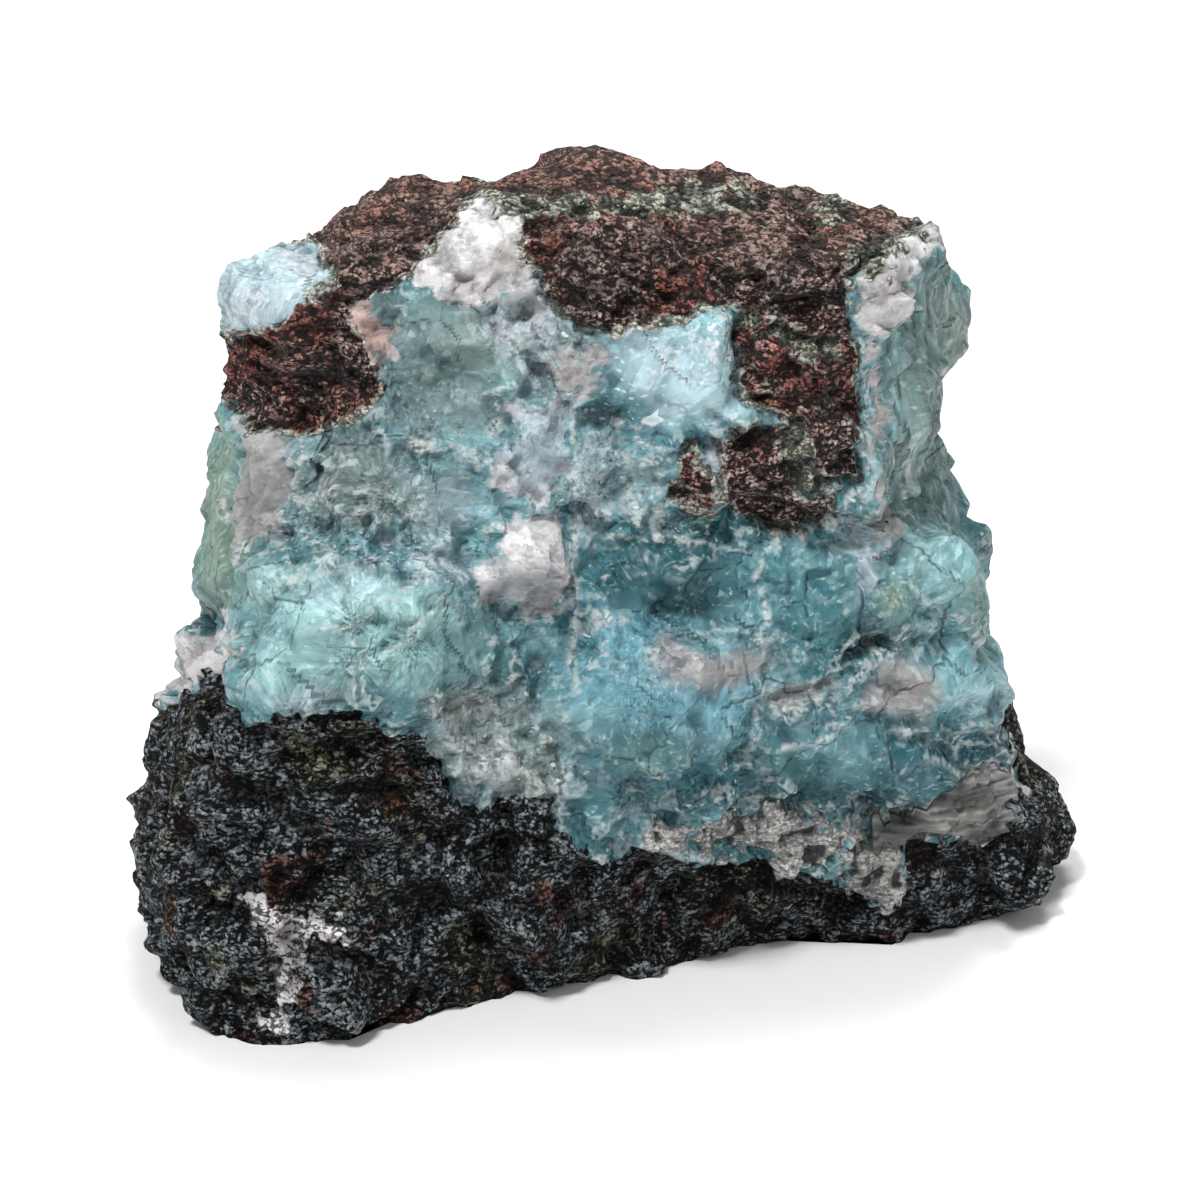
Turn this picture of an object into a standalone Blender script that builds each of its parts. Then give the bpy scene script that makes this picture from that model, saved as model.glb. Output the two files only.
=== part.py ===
"""A rough of larimar: one broken lump of rock that stands on its flat underside.

A foot of dark basalt carries a vein of blue pectolite, and a cap of red, weathered basalt
closes it at the top. They grew together, so the whole lump is one solid.
X runs to the right across the showing face, Y runs to the back and Z runs up.
"""

import bpy
import numpy as np

MM = 0.001

# The heights at which the stone's outline is given, in millimetres, and the outline at each of them:
# ten corners (x, y) from the left side round the front to the right side, then three along the back.
HEIGHTS = (0, 7, 22, 34, 44, 53, 60, 75, 86, 92, 99)
OUTLINES = (
    ((-53, -6), (-48, -25), (-24, -21), (-2, -9), (24, 2), (49, 8), (60, 22), (54, 46), (2, 52), (-43, 38)),
    ((-60, 1), (-51, -26), (-26, -23), (-3, -12), (25, 0), (53, 6), (64, 20), (55, 46), (3, 54), (-48, 40)),
    ((-57, 2), (-50, -24), (-28, -22), (-2, -14), (25, -5), (50, 4), (52, 17), (51, 44), (2, 52), (-47, 40)),
    ((-56, 3), (-47, -22), (-28, -21), (-3, -15), (24, -9), (47, 2), (50, 15), (48, 40), (0, 49), (-45, 38)),
    ((-52, 9), (-43, -20), (-27, -21), (-4, -12), (22, -10), (45, 0), (48, 14), (46, 38), (-1, 46), (-44, 34)),
    ((-50, 12), (-40, -14), (-25, -17), (-4, -8), (21, -6), (42, 0), (44, 15), (44, 36), (-1, 43), (-43, 32)),
    ((-49, 12), (-38, -10), (-23, -13), (-4, -7), (19, -6), (34, -1), (40, 20), (41, 34), (-2, 41), (-42, 31)),
    ((-49, 9), (-36, -8), (-22, -9), (-4, -6), (18, -6), (34, -1), (46, 25), (40, 34), (-2, 38), (-40, 29)),
    ((-48, 8), (-35, -6), (-20, -7), (-3, -5), (17, -5), (34, 1), (44, 19), (38, 30), (-2, 35), (-39, 27)),
    ((-37, 9), (-30, -3), (-18, -5), (-2, -4), (16, -3), (34, 3), (40, 13), (34, 20), (-2, 29), (-33, 21)),
    ((-19, 12), (-14, 5), (-8, 2), (-1, 2), (7, 3), (11, 7), (13, 12), (10, 19), (-1, 25), (-14, 21)),
)
SUMMIT = (-1, 14, 103.5)

# The skin between the corners is this much a smooth curve, and the rest of it a straight line.
SMOOTHNESS = 0.5

# The middle of the outlines' box, which the frame's origin lies under.
MIDDLE = (1.43, 13.15)

# The four sides that a feature can face, as the axes that run across and up it, and the way it looks.
SIDES = {
    "front": ((0, 2), (0, -1, 0)),
    "right": ((1, 2), (1, 0, 0)),
    "back": ((0, 2), (0, 1, 0)),
    "left": ((1, 2), (-1, 0, 0)),
}

# Lumps stand out from the faces and hollows go in: side, place across and up the side, half widths, height.
FEATURES = (
    ("front", -32.0, 50.0, 15.0, 11.5, 3.6),
    ("front", -42.0, 42.5, 6.5, 6.0, 2.4),
    ("front", -9.0, 57.0, 6.5, 5.5, 2.6),
    ("front", 4.5, 41.0, 11.0, 9.0, 3.0),
    ("front", 15.0, 31.0, 11.5, 8.5, 3.0),
    ("front", 41.0, 36.0, 9.5, 9.0, 2.8),
    ("front", 40.0, 49.5, 9.0, 5.5, 3.0),
    ("front", 33.0, 25.0, 13.0, 5.5, 2.4),
    ("front", 25.0, 52.0, 7.0, 7.5, 2.0),
    ("front", -19.0, 81.0, 8.5, 9.0, 1.6),
    ("front", -41.0, 88.5, 7.0, 5.0, 2.4),
    ("front", -36.0, 74.0, 10.0, 8.0, -2.6),
    ("front", 6.0, 68.0, 9.0, 6.5, -2.0),
    ("right", 17.0, 47.0, 11.0, 5.0, 2.0),
    ("right", 30.0, 75.0, 6.0, 9.0, 1.8),
    ("right", 36.0, 24.0, 12.0, 9.0, 2.4),
    ("left", 12.0, 60.0, 8.0, 16.0, 1.8),
    ("left", 24.0, 38.0, 10.0, 4.0, -2.6),
    ("left", 20.0, 20.0, 15.0, 8.0, 2.2),
    ("back", -20.0, 60.0, 14.0, 12.0, 3.2),
    ("back", 18.0, 34.0, 17.0, 10.0, 2.8),
    ("back", 20.0, 74.0, 11.0, 9.0, -2.8),
    ("back", -28.0, 27.0, 13.0, 5.0, -2.6),
)

# A feature starts where the skin's outward direction has this share of the side's, and is whole at the second.
TURNED_FROM = 0.1
TURNED_TO = 0.5

# A dome's profile: 1 would be a parabola, and less makes its rim steeper.
DOME_POWER = 0.75

# Broken faces: width of a face, how far it tilts, how far it steps from its neighbours, and a seed.
BREAKS = (
    (19.0, 0.19, 1.2, 11),
    (8.0, 0.2, 0.5, 23),
)

# How narrow the borders between broken faces are.
BORDER = 20.0

# Within this height above the flat underside the broken faces only move sideways.
FOOT_HEIGHT = 5.0

# The relief fades out over this many of the top gaps, so that the skin closes smoothly at the summit.
SUMMIT_FADE = 1.2

# Steps of the mesh in each gap between two corners, and in each gap between two heights.
STEPS_AROUND = (8, 8, 9, 9, 9, 7, 7, 13, 13, 9)
STEPS_UP = (3, 4, 4, 4, 4, 4, 4, 4, 4, 4, 5)

PALE_BLUE = (0.30, 0.50, 0.52, 1.0)


def curve_weights(t):
    """Weights of four neighbouring points, t of the way between the middle two."""
    smooth = np.array(
        [
            -0.5 * t + t**2 - 0.5 * t**3,
            1.0 - 2.5 * t**2 + 1.5 * t**3,
            0.5 * t + 2.0 * t**2 - 1.5 * t**3,
            -0.5 * t**2 + 0.5 * t**3,
        ]
    )
    straight = np.array([0.0 * t, 1.0 - t, t, 0.0 * t])
    return SMOOTHNESS * smooth + (1.0 - SMOOTHNESS) * straight


def control_points():
    """The outlines' corners as rings of (x, y, z), closed above by the summit as a ring of no size."""
    rings = [[(x, y, height) for x, y in corners] for height, corners in zip(HEIGHTS, OUTLINES)]
    rings.append([SUMMIT] * len(rings[0]))
    return np.array(rings, float)


def skin(around, up):
    """The plain skin: around counts corners round the stone, and up counts heights from the underside."""
    rings = control_points()
    last = len(rings) - 1
    columns = rings.shape[1]
    column = np.floor(around).astype(int)
    row = np.clip(np.floor(up).astype(int), 0, last - 1)
    across_weights = curve_weights(around - column)
    up_weights = curve_weights(up - row)
    points = np.zeros((*np.shape(around), 3))
    for i in range(4):
        for j in range(4):
            corner = rings[np.clip(row + i - 1, 0, last), (column + j - 1) % columns]
            points += (up_weights[i] * across_weights[j])[..., None] * corner
    return points


def skin_normal(around, up):
    """The skin's outward direction: the cross product of its slopes, taken over a small step."""
    step = 0.02
    last = float(len(OUTLINES))
    across = skin(around + step, up) - skin(around - step, up)
    lower = np.clip(up - step, 0, last)
    higher = np.clip(up + step, 0, last)
    upward = skin(around, higher) - skin(around, lower)
    normal = np.cross(across, upward)
    return normal / np.maximum(np.linalg.norm(normal, axis=-1, keepdims=True), 1e-9)


def scattered(cell, seed, channel):
    """A fixed random number from 0 to 1 for each whole-number cell, by mixing the bits of its place."""
    mixed = np.zeros(cell.shape[:-1], np.uint32)
    for axis, prime in enumerate((73856093, 19349663, 83492791)):
        mixed ^= cell[..., axis].astype(np.int64).astype(np.uint32) * np.uint32(prime)
    mixed ^= np.uint32((seed * 40503 + channel * 9973) & 0xFFFFFFFF)
    mixed = (mixed ^ (mixed >> np.uint32(15))) * np.uint32(2246822519)
    mixed = (mixed ^ (mixed >> np.uint32(13))) * np.uint32(3266489917)
    mixed ^= mixed >> np.uint32(16)
    return mixed / 4294967296.0


def broken_faces(points, width, tilt, step, seed):
    """Height of a surface broken into flat, tilted faces about a width across, with a step at each border.

    Each cell of a lattice holds one face, whose plane leans and steps at random. The faces
    near a point are mixed by how much nearer their middles are, so the borders stay narrow.
    """
    place = points / width
    base = np.floor(place).astype(int)
    total = np.zeros(points.shape[:-1])
    weight_sum = np.full(points.shape[:-1], 1e-12)
    for i in (-1, 0, 1):
        for j in (-1, 0, 1):
            for k in (-1, 0, 1):
                cell = base + (i, j, k)
                middle = cell + np.stack([scattered(cell, seed, c) for c in range(3)], -1)
                lean = np.stack([scattered(cell, seed, c) for c in range(3, 6)], -1) - 0.5
                away = place - middle
                weight = np.exp(-BORDER * (away**2).sum(-1))
                level = step * (2.0 * scattered(cell, seed, 6) - 1.0)
                total += weight * (level + 2.0 * tilt * width * (lean * away).sum(-1))
                weight_sum += weight
    return total / weight_sum


def feature_height(points, normals):
    """Height of the lumps and hollows: each is a round dome over an ellipse on its side of the stone."""
    height = np.zeros(points.shape[:-1])
    for side, across, up, half_width, half_height, rise in FEATURES:
        axes, facing = SIDES[side]
        spread = ((points[..., axes[0]] - across) / half_width) ** 2
        spread += ((points[..., axes[1]] - up) / half_height) ** 2
        turned = (normals @ np.array(facing, float) - TURNED_FROM) / (TURNED_TO - TURNED_FROM)
        height += rise * np.clip(turned, 0.0, 1.0) * np.clip(1.0 - spread, 0.0, 1.0) ** DOME_POWER
    return height


def surface(around, up):
    """A point of the stone: the skin, moved out or in by the features and the broken faces."""
    points = skin(around, up)
    normals = skin_normal(around, up)
    height = feature_height(points, normals)
    for width, tilt, step, seed in BREAKS:
        height += broken_faces(points, width, tilt, step, seed)
    height *= np.clip((len(OUTLINES) - up) / SUMMIT_FADE, 0.0, 1.0)
    above_foot = np.clip(points[..., 2] / FOOT_HEIGHT, 0.0, 1.0)
    outward = normals * np.stack([np.ones_like(above_foot), np.ones_like(above_foot), above_foot], -1)
    points = points + height[..., None] * outward
    points[..., 2] = np.maximum(points[..., 2], 0.0)
    points[..., :2] -= MIDDLE
    return points


def stepped(steps):
    """Parameter values that pass the gaps 0 to 1, 1 to 2 and so on, each in its own number of steps."""
    return np.concatenate([gap + np.arange(count) / count for gap, count in enumerate(steps)])


def build_stone():
    """The closed mesh: rings of points from the underside to just below the summit, and a fan at each end."""
    around, up = np.meshgrid(stepped(STEPS_AROUND), stepped(STEPS_UP))
    rings = surface(around, up)
    rows, columns = around.shape
    underside_middle = np.array([rings[0].mean(0)])
    summit = surface(np.zeros((1, 1)), np.full((1, 1), float(len(OUTLINES))))[0]
    points = np.concatenate([rings.reshape(-1, 3), underside_middle, summit]) * MM

    row, column = np.meshgrid(np.arange(rows - 1), np.arange(columns), indexing="ij")
    here = row * columns + column
    beside = row * columns + (column + 1) % columns
    quads = np.stack([here, beside, beside + columns, here + columns], -1).reshape(-1, 4)
    edge = np.arange(columns)
    following = (edge + 1) % columns
    top_row = (rows - 1) * columns
    underside = np.stack([following, edge, np.full(columns, rows * columns)], -1)
    top = np.stack([top_row + edge, top_row + following, np.full(columns, rows * columns + 1)], -1)

    mesh = bpy.data.meshes.new("larimar_stone")
    mesh.from_pydata(points.tolist(), [], quads.tolist() + underside.tolist() + top.tolist())
    mesh.validate()
    stone = bpy.data.objects.new("larimar_stone", mesh)
    bpy.context.scene.collection.objects.link(stone)
    return stone


def stone_finish():
    """Blue pectolite in basalt: dull to waxy broken rock."""
    material = bpy.data.materials.new("pectolite_in_basalt")
    material.use_nodes = True
    shader = material.node_tree.nodes["Principled BSDF"]
    shader.inputs["Base Color"].default_value = PALE_BLUE
    shader.inputs["Roughness"].default_value = 0.55
    shader.inputs["Metallic"].default_value = 0.0
    return material


def main():
    for old in list(bpy.data.objects):
        bpy.data.objects.remove(old)
    stone = build_stone()
    stone.data.materials.append(stone_finish())
    stone.data.shade_smooth()
    stone.data.set_sharp_from_angle(angle=np.radians(50.0))


main()
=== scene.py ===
# %% [markdown]
# # A rough of larimar
# The stone is one broken lump: a foot of dark basalt, a vein of blue pectolite with white calcite
# in it, and a cap of red, weathered basalt. They grew together, so the looks are one closed piece.
# The solid model gives the lump's form. This lesson gives it its broken surface and its minerals.

# %% Load the solid model
import math

import bpy
import numpy as np
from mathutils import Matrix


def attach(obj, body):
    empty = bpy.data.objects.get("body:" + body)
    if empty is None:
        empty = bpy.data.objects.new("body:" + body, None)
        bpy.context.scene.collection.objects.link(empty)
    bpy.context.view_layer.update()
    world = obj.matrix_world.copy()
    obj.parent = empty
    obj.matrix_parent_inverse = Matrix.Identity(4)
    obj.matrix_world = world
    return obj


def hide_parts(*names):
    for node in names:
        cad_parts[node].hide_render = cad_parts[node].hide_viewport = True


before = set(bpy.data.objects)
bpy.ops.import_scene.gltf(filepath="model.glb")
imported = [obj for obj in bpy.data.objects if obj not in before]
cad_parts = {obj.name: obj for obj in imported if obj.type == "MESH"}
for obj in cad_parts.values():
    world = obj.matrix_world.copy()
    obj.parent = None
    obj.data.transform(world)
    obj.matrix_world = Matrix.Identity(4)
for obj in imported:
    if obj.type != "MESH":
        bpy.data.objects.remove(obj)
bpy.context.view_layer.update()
MM = 0.001

# %% [markdown]
# ## The camera
# The camera stands half a metre away and looks down by 20 degrees, as for a photograph of a
# specimen on a table. It comes first, because the minerals' borders are laid out in the
# picture's frame, 1200 by 1200, and the same camera model carries them onto the stone.

# %% Camera
PHOTO_SIDE = 1200.0
PIXEL_MM = 0.13
CAMERA_DROP = math.radians(20.0)
CAMERA_DISTANCE_MM = 500.0
AIM_MM = np.array([-1.83, 2.45, 42.7])
SENSOR_MM = 36.0
TOWARDS_CAMERA = np.array([0.0, -math.cos(CAMERA_DROP), math.sin(CAMERA_DROP)])
PICTURE_UP = np.array([0.0, math.sin(CAMERA_DROP), math.cos(CAMERA_DROP)])

camera = bpy.data.objects.new("camera", bpy.data.cameras.new("camera"))
camera.data.sensor_width = SENSOR_MM
camera.data.lens = SENSOR_MM * CAMERA_DISTANCE_MM / (PHOTO_SIDE * PIXEL_MM)
camera.location = (AIM_MM + CAMERA_DISTANCE_MM * TOWARDS_CAMERA) * MM
camera.rotation_euler = (math.pi / 2 - CAMERA_DROP, 0.0, 0.0)
bpy.context.scene.collection.objects.link(camera)
bpy.context.scene.camera = camera


def photo_place(points):
    """Where points (mm) fall in the picture: their offsets from the aim, over their distance away."""
    offset = points - AIM_MM
    enlarged = CAMERA_DISTANCE_MM / (CAMERA_DISTANCE_MM - offset @ TOWARDS_CAMERA) / PIXEL_MM
    across = PHOTO_SIDE / 2 + offset[..., 0] * enlarged
    down = PHOTO_SIDE / 2 - (offset @ PICTURE_UP) * enlarged
    return np.stack([across, down], -1)


print("lens, in mm:", round(camera.data.lens, 1))

# %% [markdown]
# ## Scattered numbers and noise
# Broken rock needs irregularity that comes out the same each time. A fixed random number for each
# cell of a lattice does that: it is made by mixing the bits of the cell's whole-number place.
# From it come soft noise, for slow changes, and broken faces, for flat breaks that tilt at random.

# %% Noise
def scattered(cell, seed, channel):
    """A fixed random number from 0 to 1 for each whole-number cell, by mixing the bits of its place."""
    mixed = np.zeros(cell.shape[:-1], np.uint32)
    for axis, prime in enumerate((73856093, 19349663, 83492791)):
        mixed ^= cell[..., axis].astype(np.int64).astype(np.uint32) * np.uint32(prime)
    mixed ^= np.uint32((seed * 40503 + channel * 9973) & 0xFFFFFFFF)
    mixed = (mixed ^ (mixed >> np.uint32(15))) * np.uint32(2246822519)
    mixed = (mixed ^ (mixed >> np.uint32(13))) * np.uint32(3266489917)
    mixed ^= mixed >> np.uint32(16)
    return mixed / 4294967296.0


def soft_noise(points, size, seed):
    """Noise from -1 to 1 with lumps about size mm wide: a smooth blend of a cell's eight corner numbers."""
    place = points / size
    base = np.floor(place).astype(int)
    part = place - base
    part = part**3 * (part * (part * 6.0 - 15.0) + 10.0)
    total = np.zeros(points.shape[:-1])
    for i in (0, 1):
        for j in (0, 1):
            for k in (0, 1):
                share = np.prod(np.where(np.array([i, j, k]) == 1, part, 1.0 - part), -1)
                total += share * scattered(base + (i, j, k), seed, 0)
    return 2.0 * total - 1.0


def layered_noise(points, size, seed, layers=4, finer=0.5):
    """Soft noise in layers, each half the size of the one before it and finer times as strong."""
    total = np.zeros(points.shape[:-1])
    for layer in range(layers):
        total += finer**layer * soft_noise(points, size * 0.5**layer, seed + layer)
    return total


def broken_faces(points, width, tilt, step, seed, border=20.0):
    """Height of a surface broken into flat, tilted faces about a width across, with a step at each border.

    Each cell of a lattice holds one face, whose plane leans and steps at random. The faces
    near a point are mixed by how much nearer their middles are, so the borders stay narrow.
    """
    place = points / width
    base = np.floor(place).astype(int)
    total = np.zeros(points.shape[:-1])
    weight_sum = np.full(points.shape[:-1], 1e-12)
    for i in (-1, 0, 1):
        for j in (-1, 0, 1):
            for k in (-1, 0, 1):
                cell = base + (i, j, k)
                middle = cell + np.stack([scattered(cell, seed, c) for c in range(3)], -1)
                lean = np.stack([scattered(cell, seed, c) for c in range(3, 6)], -1) - 0.5
                away = place - middle
                weight = np.exp(-border * (away**2).sum(-1))
                level = step * (2.0 * scattered(cell, seed, 6) - 1.0)
                total += weight * (level + 2.0 * tilt * width * (lean * away).sum(-1))
                weight_sum += weight
    return total / weight_sum


# %% [markdown]
# ## The lump's form
# The form is the solid model's own: outlines at eleven heights, joined by a skin that is half
# straight lines and half smooth curve, with lumps and hollows on it and large broken faces.
# The surface is a function of two numbers, around and up, so the same formula can be sampled far
# more finely here than in the solid model, and it stays in the same place.

# %% Form, as in the solid model
HEIGHTS = (0, 7, 22, 34, 44, 53, 60, 75, 86, 92, 99)
OUTLINES = (
    ((-53, -6), (-48, -25), (-24, -21), (-2, -9), (24, 2), (49, 8), (60, 22), (54, 46), (2, 52), (-43, 38)),
    ((-60, 1), (-51, -26), (-26, -23), (-3, -12), (25, 0), (53, 6), (64, 20), (55, 46), (3, 54), (-48, 40)),
    ((-57, 2), (-50, -24), (-28, -22), (-2, -14), (25, -5), (50, 4), (52, 17), (51, 44), (2, 52), (-47, 40)),
    ((-56, 3), (-47, -22), (-28, -21), (-3, -15), (24, -9), (47, 2), (50, 15), (48, 40), (0, 49), (-45, 38)),
    ((-52, 9), (-43, -20), (-27, -21), (-4, -12), (22, -10), (45, 0), (48, 14), (46, 38), (-1, 46), (-44, 34)),
    ((-50, 12), (-40, -14), (-25, -17), (-4, -8), (21, -6), (42, 0), (44, 15), (44, 36), (-1, 43), (-43, 32)),
    ((-49, 12), (-38, -10), (-23, -13), (-4, -7), (19, -6), (34, -1), (40, 20), (41, 34), (-2, 41), (-42, 31)),
    ((-49, 9), (-36, -8), (-22, -9), (-4, -6), (18, -6), (34, -1), (46, 25), (40, 34), (-2, 38), (-40, 29)),
    ((-48, 8), (-35, -6), (-20, -7), (-3, -5), (17, -5), (34, 1), (44, 19), (38, 30), (-2, 35), (-39, 27)),
    ((-37, 9), (-30, -3), (-18, -5), (-2, -4), (16, -3), (34, 3), (40, 13), (34, 20), (-2, 29), (-33, 21)),
    ((-19, 12), (-14, 5), (-8, 2), (-1, 2), (7, 3), (11, 7), (13, 12), (10, 19), (-1, 25), (-14, 21)),
)
SUMMIT = (-1, 14, 103.5)
SMOOTHNESS = 0.5
MIDDLE = (1.43, 13.15)
SIDES = {
    "front": ((0, 2), (0, -1, 0)),
    "right": ((1, 2), (1, 0, 0)),
    "back": ((0, 2), (0, 1, 0)),
    "left": ((1, 2), (-1, 0, 0)),
}
FEATURES = (
    ("front", -32.0, 50.0, 15.0, 11.5, 3.6),
    ("front", -42.0, 42.5, 6.5, 6.0, 2.4),
    ("front", -9.0, 57.0, 6.5, 5.5, 2.6),
    ("front", 4.5, 41.0, 11.0, 9.0, 3.0),
    ("front", 15.0, 31.0, 11.5, 8.5, 3.0),
    ("front", 41.0, 36.0, 9.5, 9.0, 2.8),
    ("front", 40.0, 49.5, 9.0, 5.5, 3.0),
    ("front", 33.0, 25.0, 13.0, 5.5, 2.4),
    ("front", 25.0, 52.0, 7.0, 7.5, 2.0),
    ("front", -19.0, 81.0, 8.5, 9.0, 1.6),
    ("front", -41.0, 88.5, 7.0, 5.0, 2.4),
    ("front", -36.0, 74.0, 10.0, 8.0, -2.6),
    ("front", 6.0, 68.0, 9.0, 6.5, -2.0),
    ("right", 17.0, 47.0, 11.0, 5.0, 2.0),
    ("right", 30.0, 75.0, 6.0, 9.0, 1.8),
    ("right", 36.0, 24.0, 12.0, 9.0, 2.4),
    ("left", 12.0, 60.0, 8.0, 16.0, 1.8),
    ("left", 24.0, 38.0, 10.0, 4.0, -2.6),
    ("left", 20.0, 20.0, 15.0, 8.0, 2.2),
    ("back", -20.0, 60.0, 14.0, 12.0, 3.2),
    ("back", 18.0, 34.0, 17.0, 10.0, 2.8),
    ("back", 20.0, 74.0, 11.0, 9.0, -2.8),
    ("back", -28.0, 27.0, 13.0, 5.0, -2.6),
)
TURNED_FROM = 0.1
TURNED_TO = 0.5
DOME_POWER = 0.75
BREAKS = (
    (19.0, 0.19, 1.2, 11),
    (8.0, 0.2, 0.5, 23),
)
FOOT_HEIGHT = 5.0
SUMMIT_FADE = 1.2


def curve_weights(t):
    """Weights of four neighbouring points, t of the way between the middle two."""
    smooth = np.array(
        [
            -0.5 * t + t**2 - 0.5 * t**3,
            1.0 - 2.5 * t**2 + 1.5 * t**3,
            0.5 * t + 2.0 * t**2 - 1.5 * t**3,
            -0.5 * t**2 + 0.5 * t**3,
        ]
    )
    straight = np.array([0.0 * t, 1.0 - t, t, 0.0 * t])
    return SMOOTHNESS * smooth + (1.0 - SMOOTHNESS) * straight


def skin(around, up):
    """The plain skin: each point is a weighted mean of the 4 by 4 outline corners nearest to it."""
    rings = [[(x, y, height) for x, y in corners] for height, corners in zip(HEIGHTS, OUTLINES)]
    rings = np.array(rings + [[SUMMIT] * len(rings[0])], float)
    last = len(rings) - 1
    columns = rings.shape[1]
    column = np.floor(around).astype(int)
    row = np.clip(np.floor(up).astype(int), 0, last - 1)
    across_weights = curve_weights(around - column)
    up_weights = curve_weights(up - row)
    points = np.zeros((*np.shape(around), 3))
    for i in range(4):
        for j in range(4):
            corner = rings[np.clip(row + i - 1, 0, last), (column + j - 1) % columns]
            points += (up_weights[i] * across_weights[j])[..., None] * corner
    return points


def skin_normal(around, up):
    """The skin's outward direction: the cross product of its slopes, taken over a small step."""
    step = 0.02
    last = float(len(OUTLINES))
    across = skin(around + step, up) - skin(around - step, up)
    upward = skin(around, np.clip(up + step, 0, last)) - skin(around, np.clip(up - step, 0, last))
    normal = np.cross(across, upward)
    return normal / np.maximum(np.linalg.norm(normal, axis=-1, keepdims=True), 1e-9)


def feature_height(points, normals):
    """Height of the lumps and hollows: each is a round dome over an ellipse on its side of the stone."""
    height = np.zeros(points.shape[:-1])
    for side, across, up, half_width, half_height, rise in FEATURES:
        axes, facing = SIDES[side]
        spread = ((points[..., axes[0]] - across) / half_width) ** 2
        spread += ((points[..., axes[1]] - up) / half_height) ** 2
        turned = (normals @ np.array(facing, float) - TURNED_FROM) / (TURNED_TO - TURNED_FROM)
        height += rise * np.clip(turned, 0.0, 1.0) * np.clip(1.0 - spread, 0.0, 1.0) ** DOME_POWER
    return height


def moved_out(points, normals, height):
    """Points moved along their normals by height mm, but only sideways close to the flat underside."""
    above_foot = np.clip(points[..., 2] / FOOT_HEIGHT, 0.0, 1.0)
    outward = normals * np.stack([np.ones_like(above_foot), np.ones_like(above_foot), above_foot], -1)
    moved = points + height[..., None] * outward
    moved[..., 2] = np.maximum(moved[..., 2], 0.0)
    return moved


# %% [markdown]
# ## The grid
# Most of the points go to the showing face, where the eye is, at about half a millimetre apart.
# Behind, the cells are two to four times as wide. The grid's ends close on a ring and a summit.

# %% Grid of the fine surface
STEPS_AROUND = (46, 52, 50, 54, 50, 34, 22, 36, 34, 20)
STEPS_UP = (16, 27, 24, 24, 21, 20, 33, 27, 20, 22, 13)


def stepped(steps):
    """Parameter values that pass the gaps 0 to 1, 1 to 2 and so on, each in its own number of steps."""
    return np.concatenate([gap + np.arange(count) / count for gap, count in enumerate(steps)])


around, up = np.meshgrid(stepped(STEPS_AROUND), stepped(STEPS_UP))
plain = skin(around, up)
outward = skin_normal(around, up)
form_height = feature_height(plain, outward)
for width, tilt, step, seed in BREAKS:
    form_height += broken_faces(plain, width, tilt, step, seed)
summit_share = np.clip((len(OUTLINES) - up) / SUMMIT_FADE, 0.0, 1.0)
form = moved_out(plain, outward, form_height * summit_share)
form[..., :2] -= MIDDLE
print("grid:", around.shape, "triangles:", 2 * around.size)

# %% [markdown]
# ## Where each mineral lies
# The borders between the minerals are laid out as outlines in the picture. A vein runs right
# through a stone, so the same outlines are carried straight back through it. Behind the face a
# slow noise bends them, so the back has the same layers but its own patches.
# A signed distance to each outline, in millimetres, is kept rather than a yes or no: positive is
# inside. The material can then roughen the border, and the relief can rise towards it.

# %% Outlines of the minerals, in picture coordinates
BASALT_FOOT = (
    (0, 718), (165, 702), (190, 689), (206, 679), (219, 671), (229, 689), (224, 700), (237, 702),
    (238, 715), (255, 725), (289, 715), (336, 715), (373, 715), (383, 731), (399, 738), (425, 742),
    (436, 757), (452, 776), (468, 808), (500, 800), (525, 790), (550, 800), (556, 832), (577, 850),
    (612, 858), (640, 850), (700, 862), (762, 866), (800, 868), (838, 882), (865, 905), (903, 897),
    (906, 846), (940, 842), (985, 835), (1016, 818), (1018, 780), (1008, 740), (1006, 700), (1060, 685),
    (1200, 690), (1200, 1200), (0, 1200),
)
RED_CAP = (
    (200, 60), (1000, 60), (1000, 214), (925, 212), (905, 235), (872, 247), (845, 262), (849, 314),
    (858, 394), (858, 479), (814, 475), (803, 420), (778, 413), (743, 401), (734, 340), (742, 320),
    (740, 307), (722, 302), (699, 307), (679, 317), (635, 325), (615, 330), (572, 317), (549, 297),
    (539, 271), (523, 251), (526, 213), (500, 203), (478, 206), (460, 225), (440, 240), (415, 265),
    (390, 285), (372, 298), (355, 298), (352, 325), (366, 352), (378, 376), (384, 392), (360, 408),
    (320, 430), (283, 432), (262, 428), (240, 405), (205, 385), (205, 345), (262, 332), (300, 318),
    (322, 300), (338, 287), (335, 262), (322, 250), (310, 236), (200, 225),
)
RED_PATCHES = (
    ((674, 482), (684, 462), (697, 449), (702, 470), (716, 478), (714, 498), (705, 511), (690, 509),
     (674, 496)),
    ((724, 445), (738, 431), (757, 426), (778, 429), (785, 452), (791, 490), (812, 500), (838, 492),
     (830, 511), (801, 522), (796, 535), (790, 524), (775, 520), (757, 514), (735, 508), (722, 496),
     (728, 470)),
)
GREEN_RINDS = (
    ((750, 322), (775, 316), (800, 320), (845, 345), (846, 362), (815, 358), (780, 345), (757, 335)),
    ((780, 418), (800, 422), (812, 470), (826, 480), (824, 493), (795, 488), (786, 455)),
    ((460, 200), (520, 190), (600, 199), (680, 191), (754, 188), (748, 210), (690, 215), (600, 219),
     (500, 219)),
    ((680, 182), (715, 180), (742, 190), (730, 202), (700, 204), (685, 196)),
    ((800, 204), (840, 210), (862, 214), (850, 226), (825, 232), (805, 220)),
    ((840, 252), (872, 246), (905, 236), (920, 222), (928, 232), (900, 258), (868, 272), (848, 274)),
)
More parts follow.
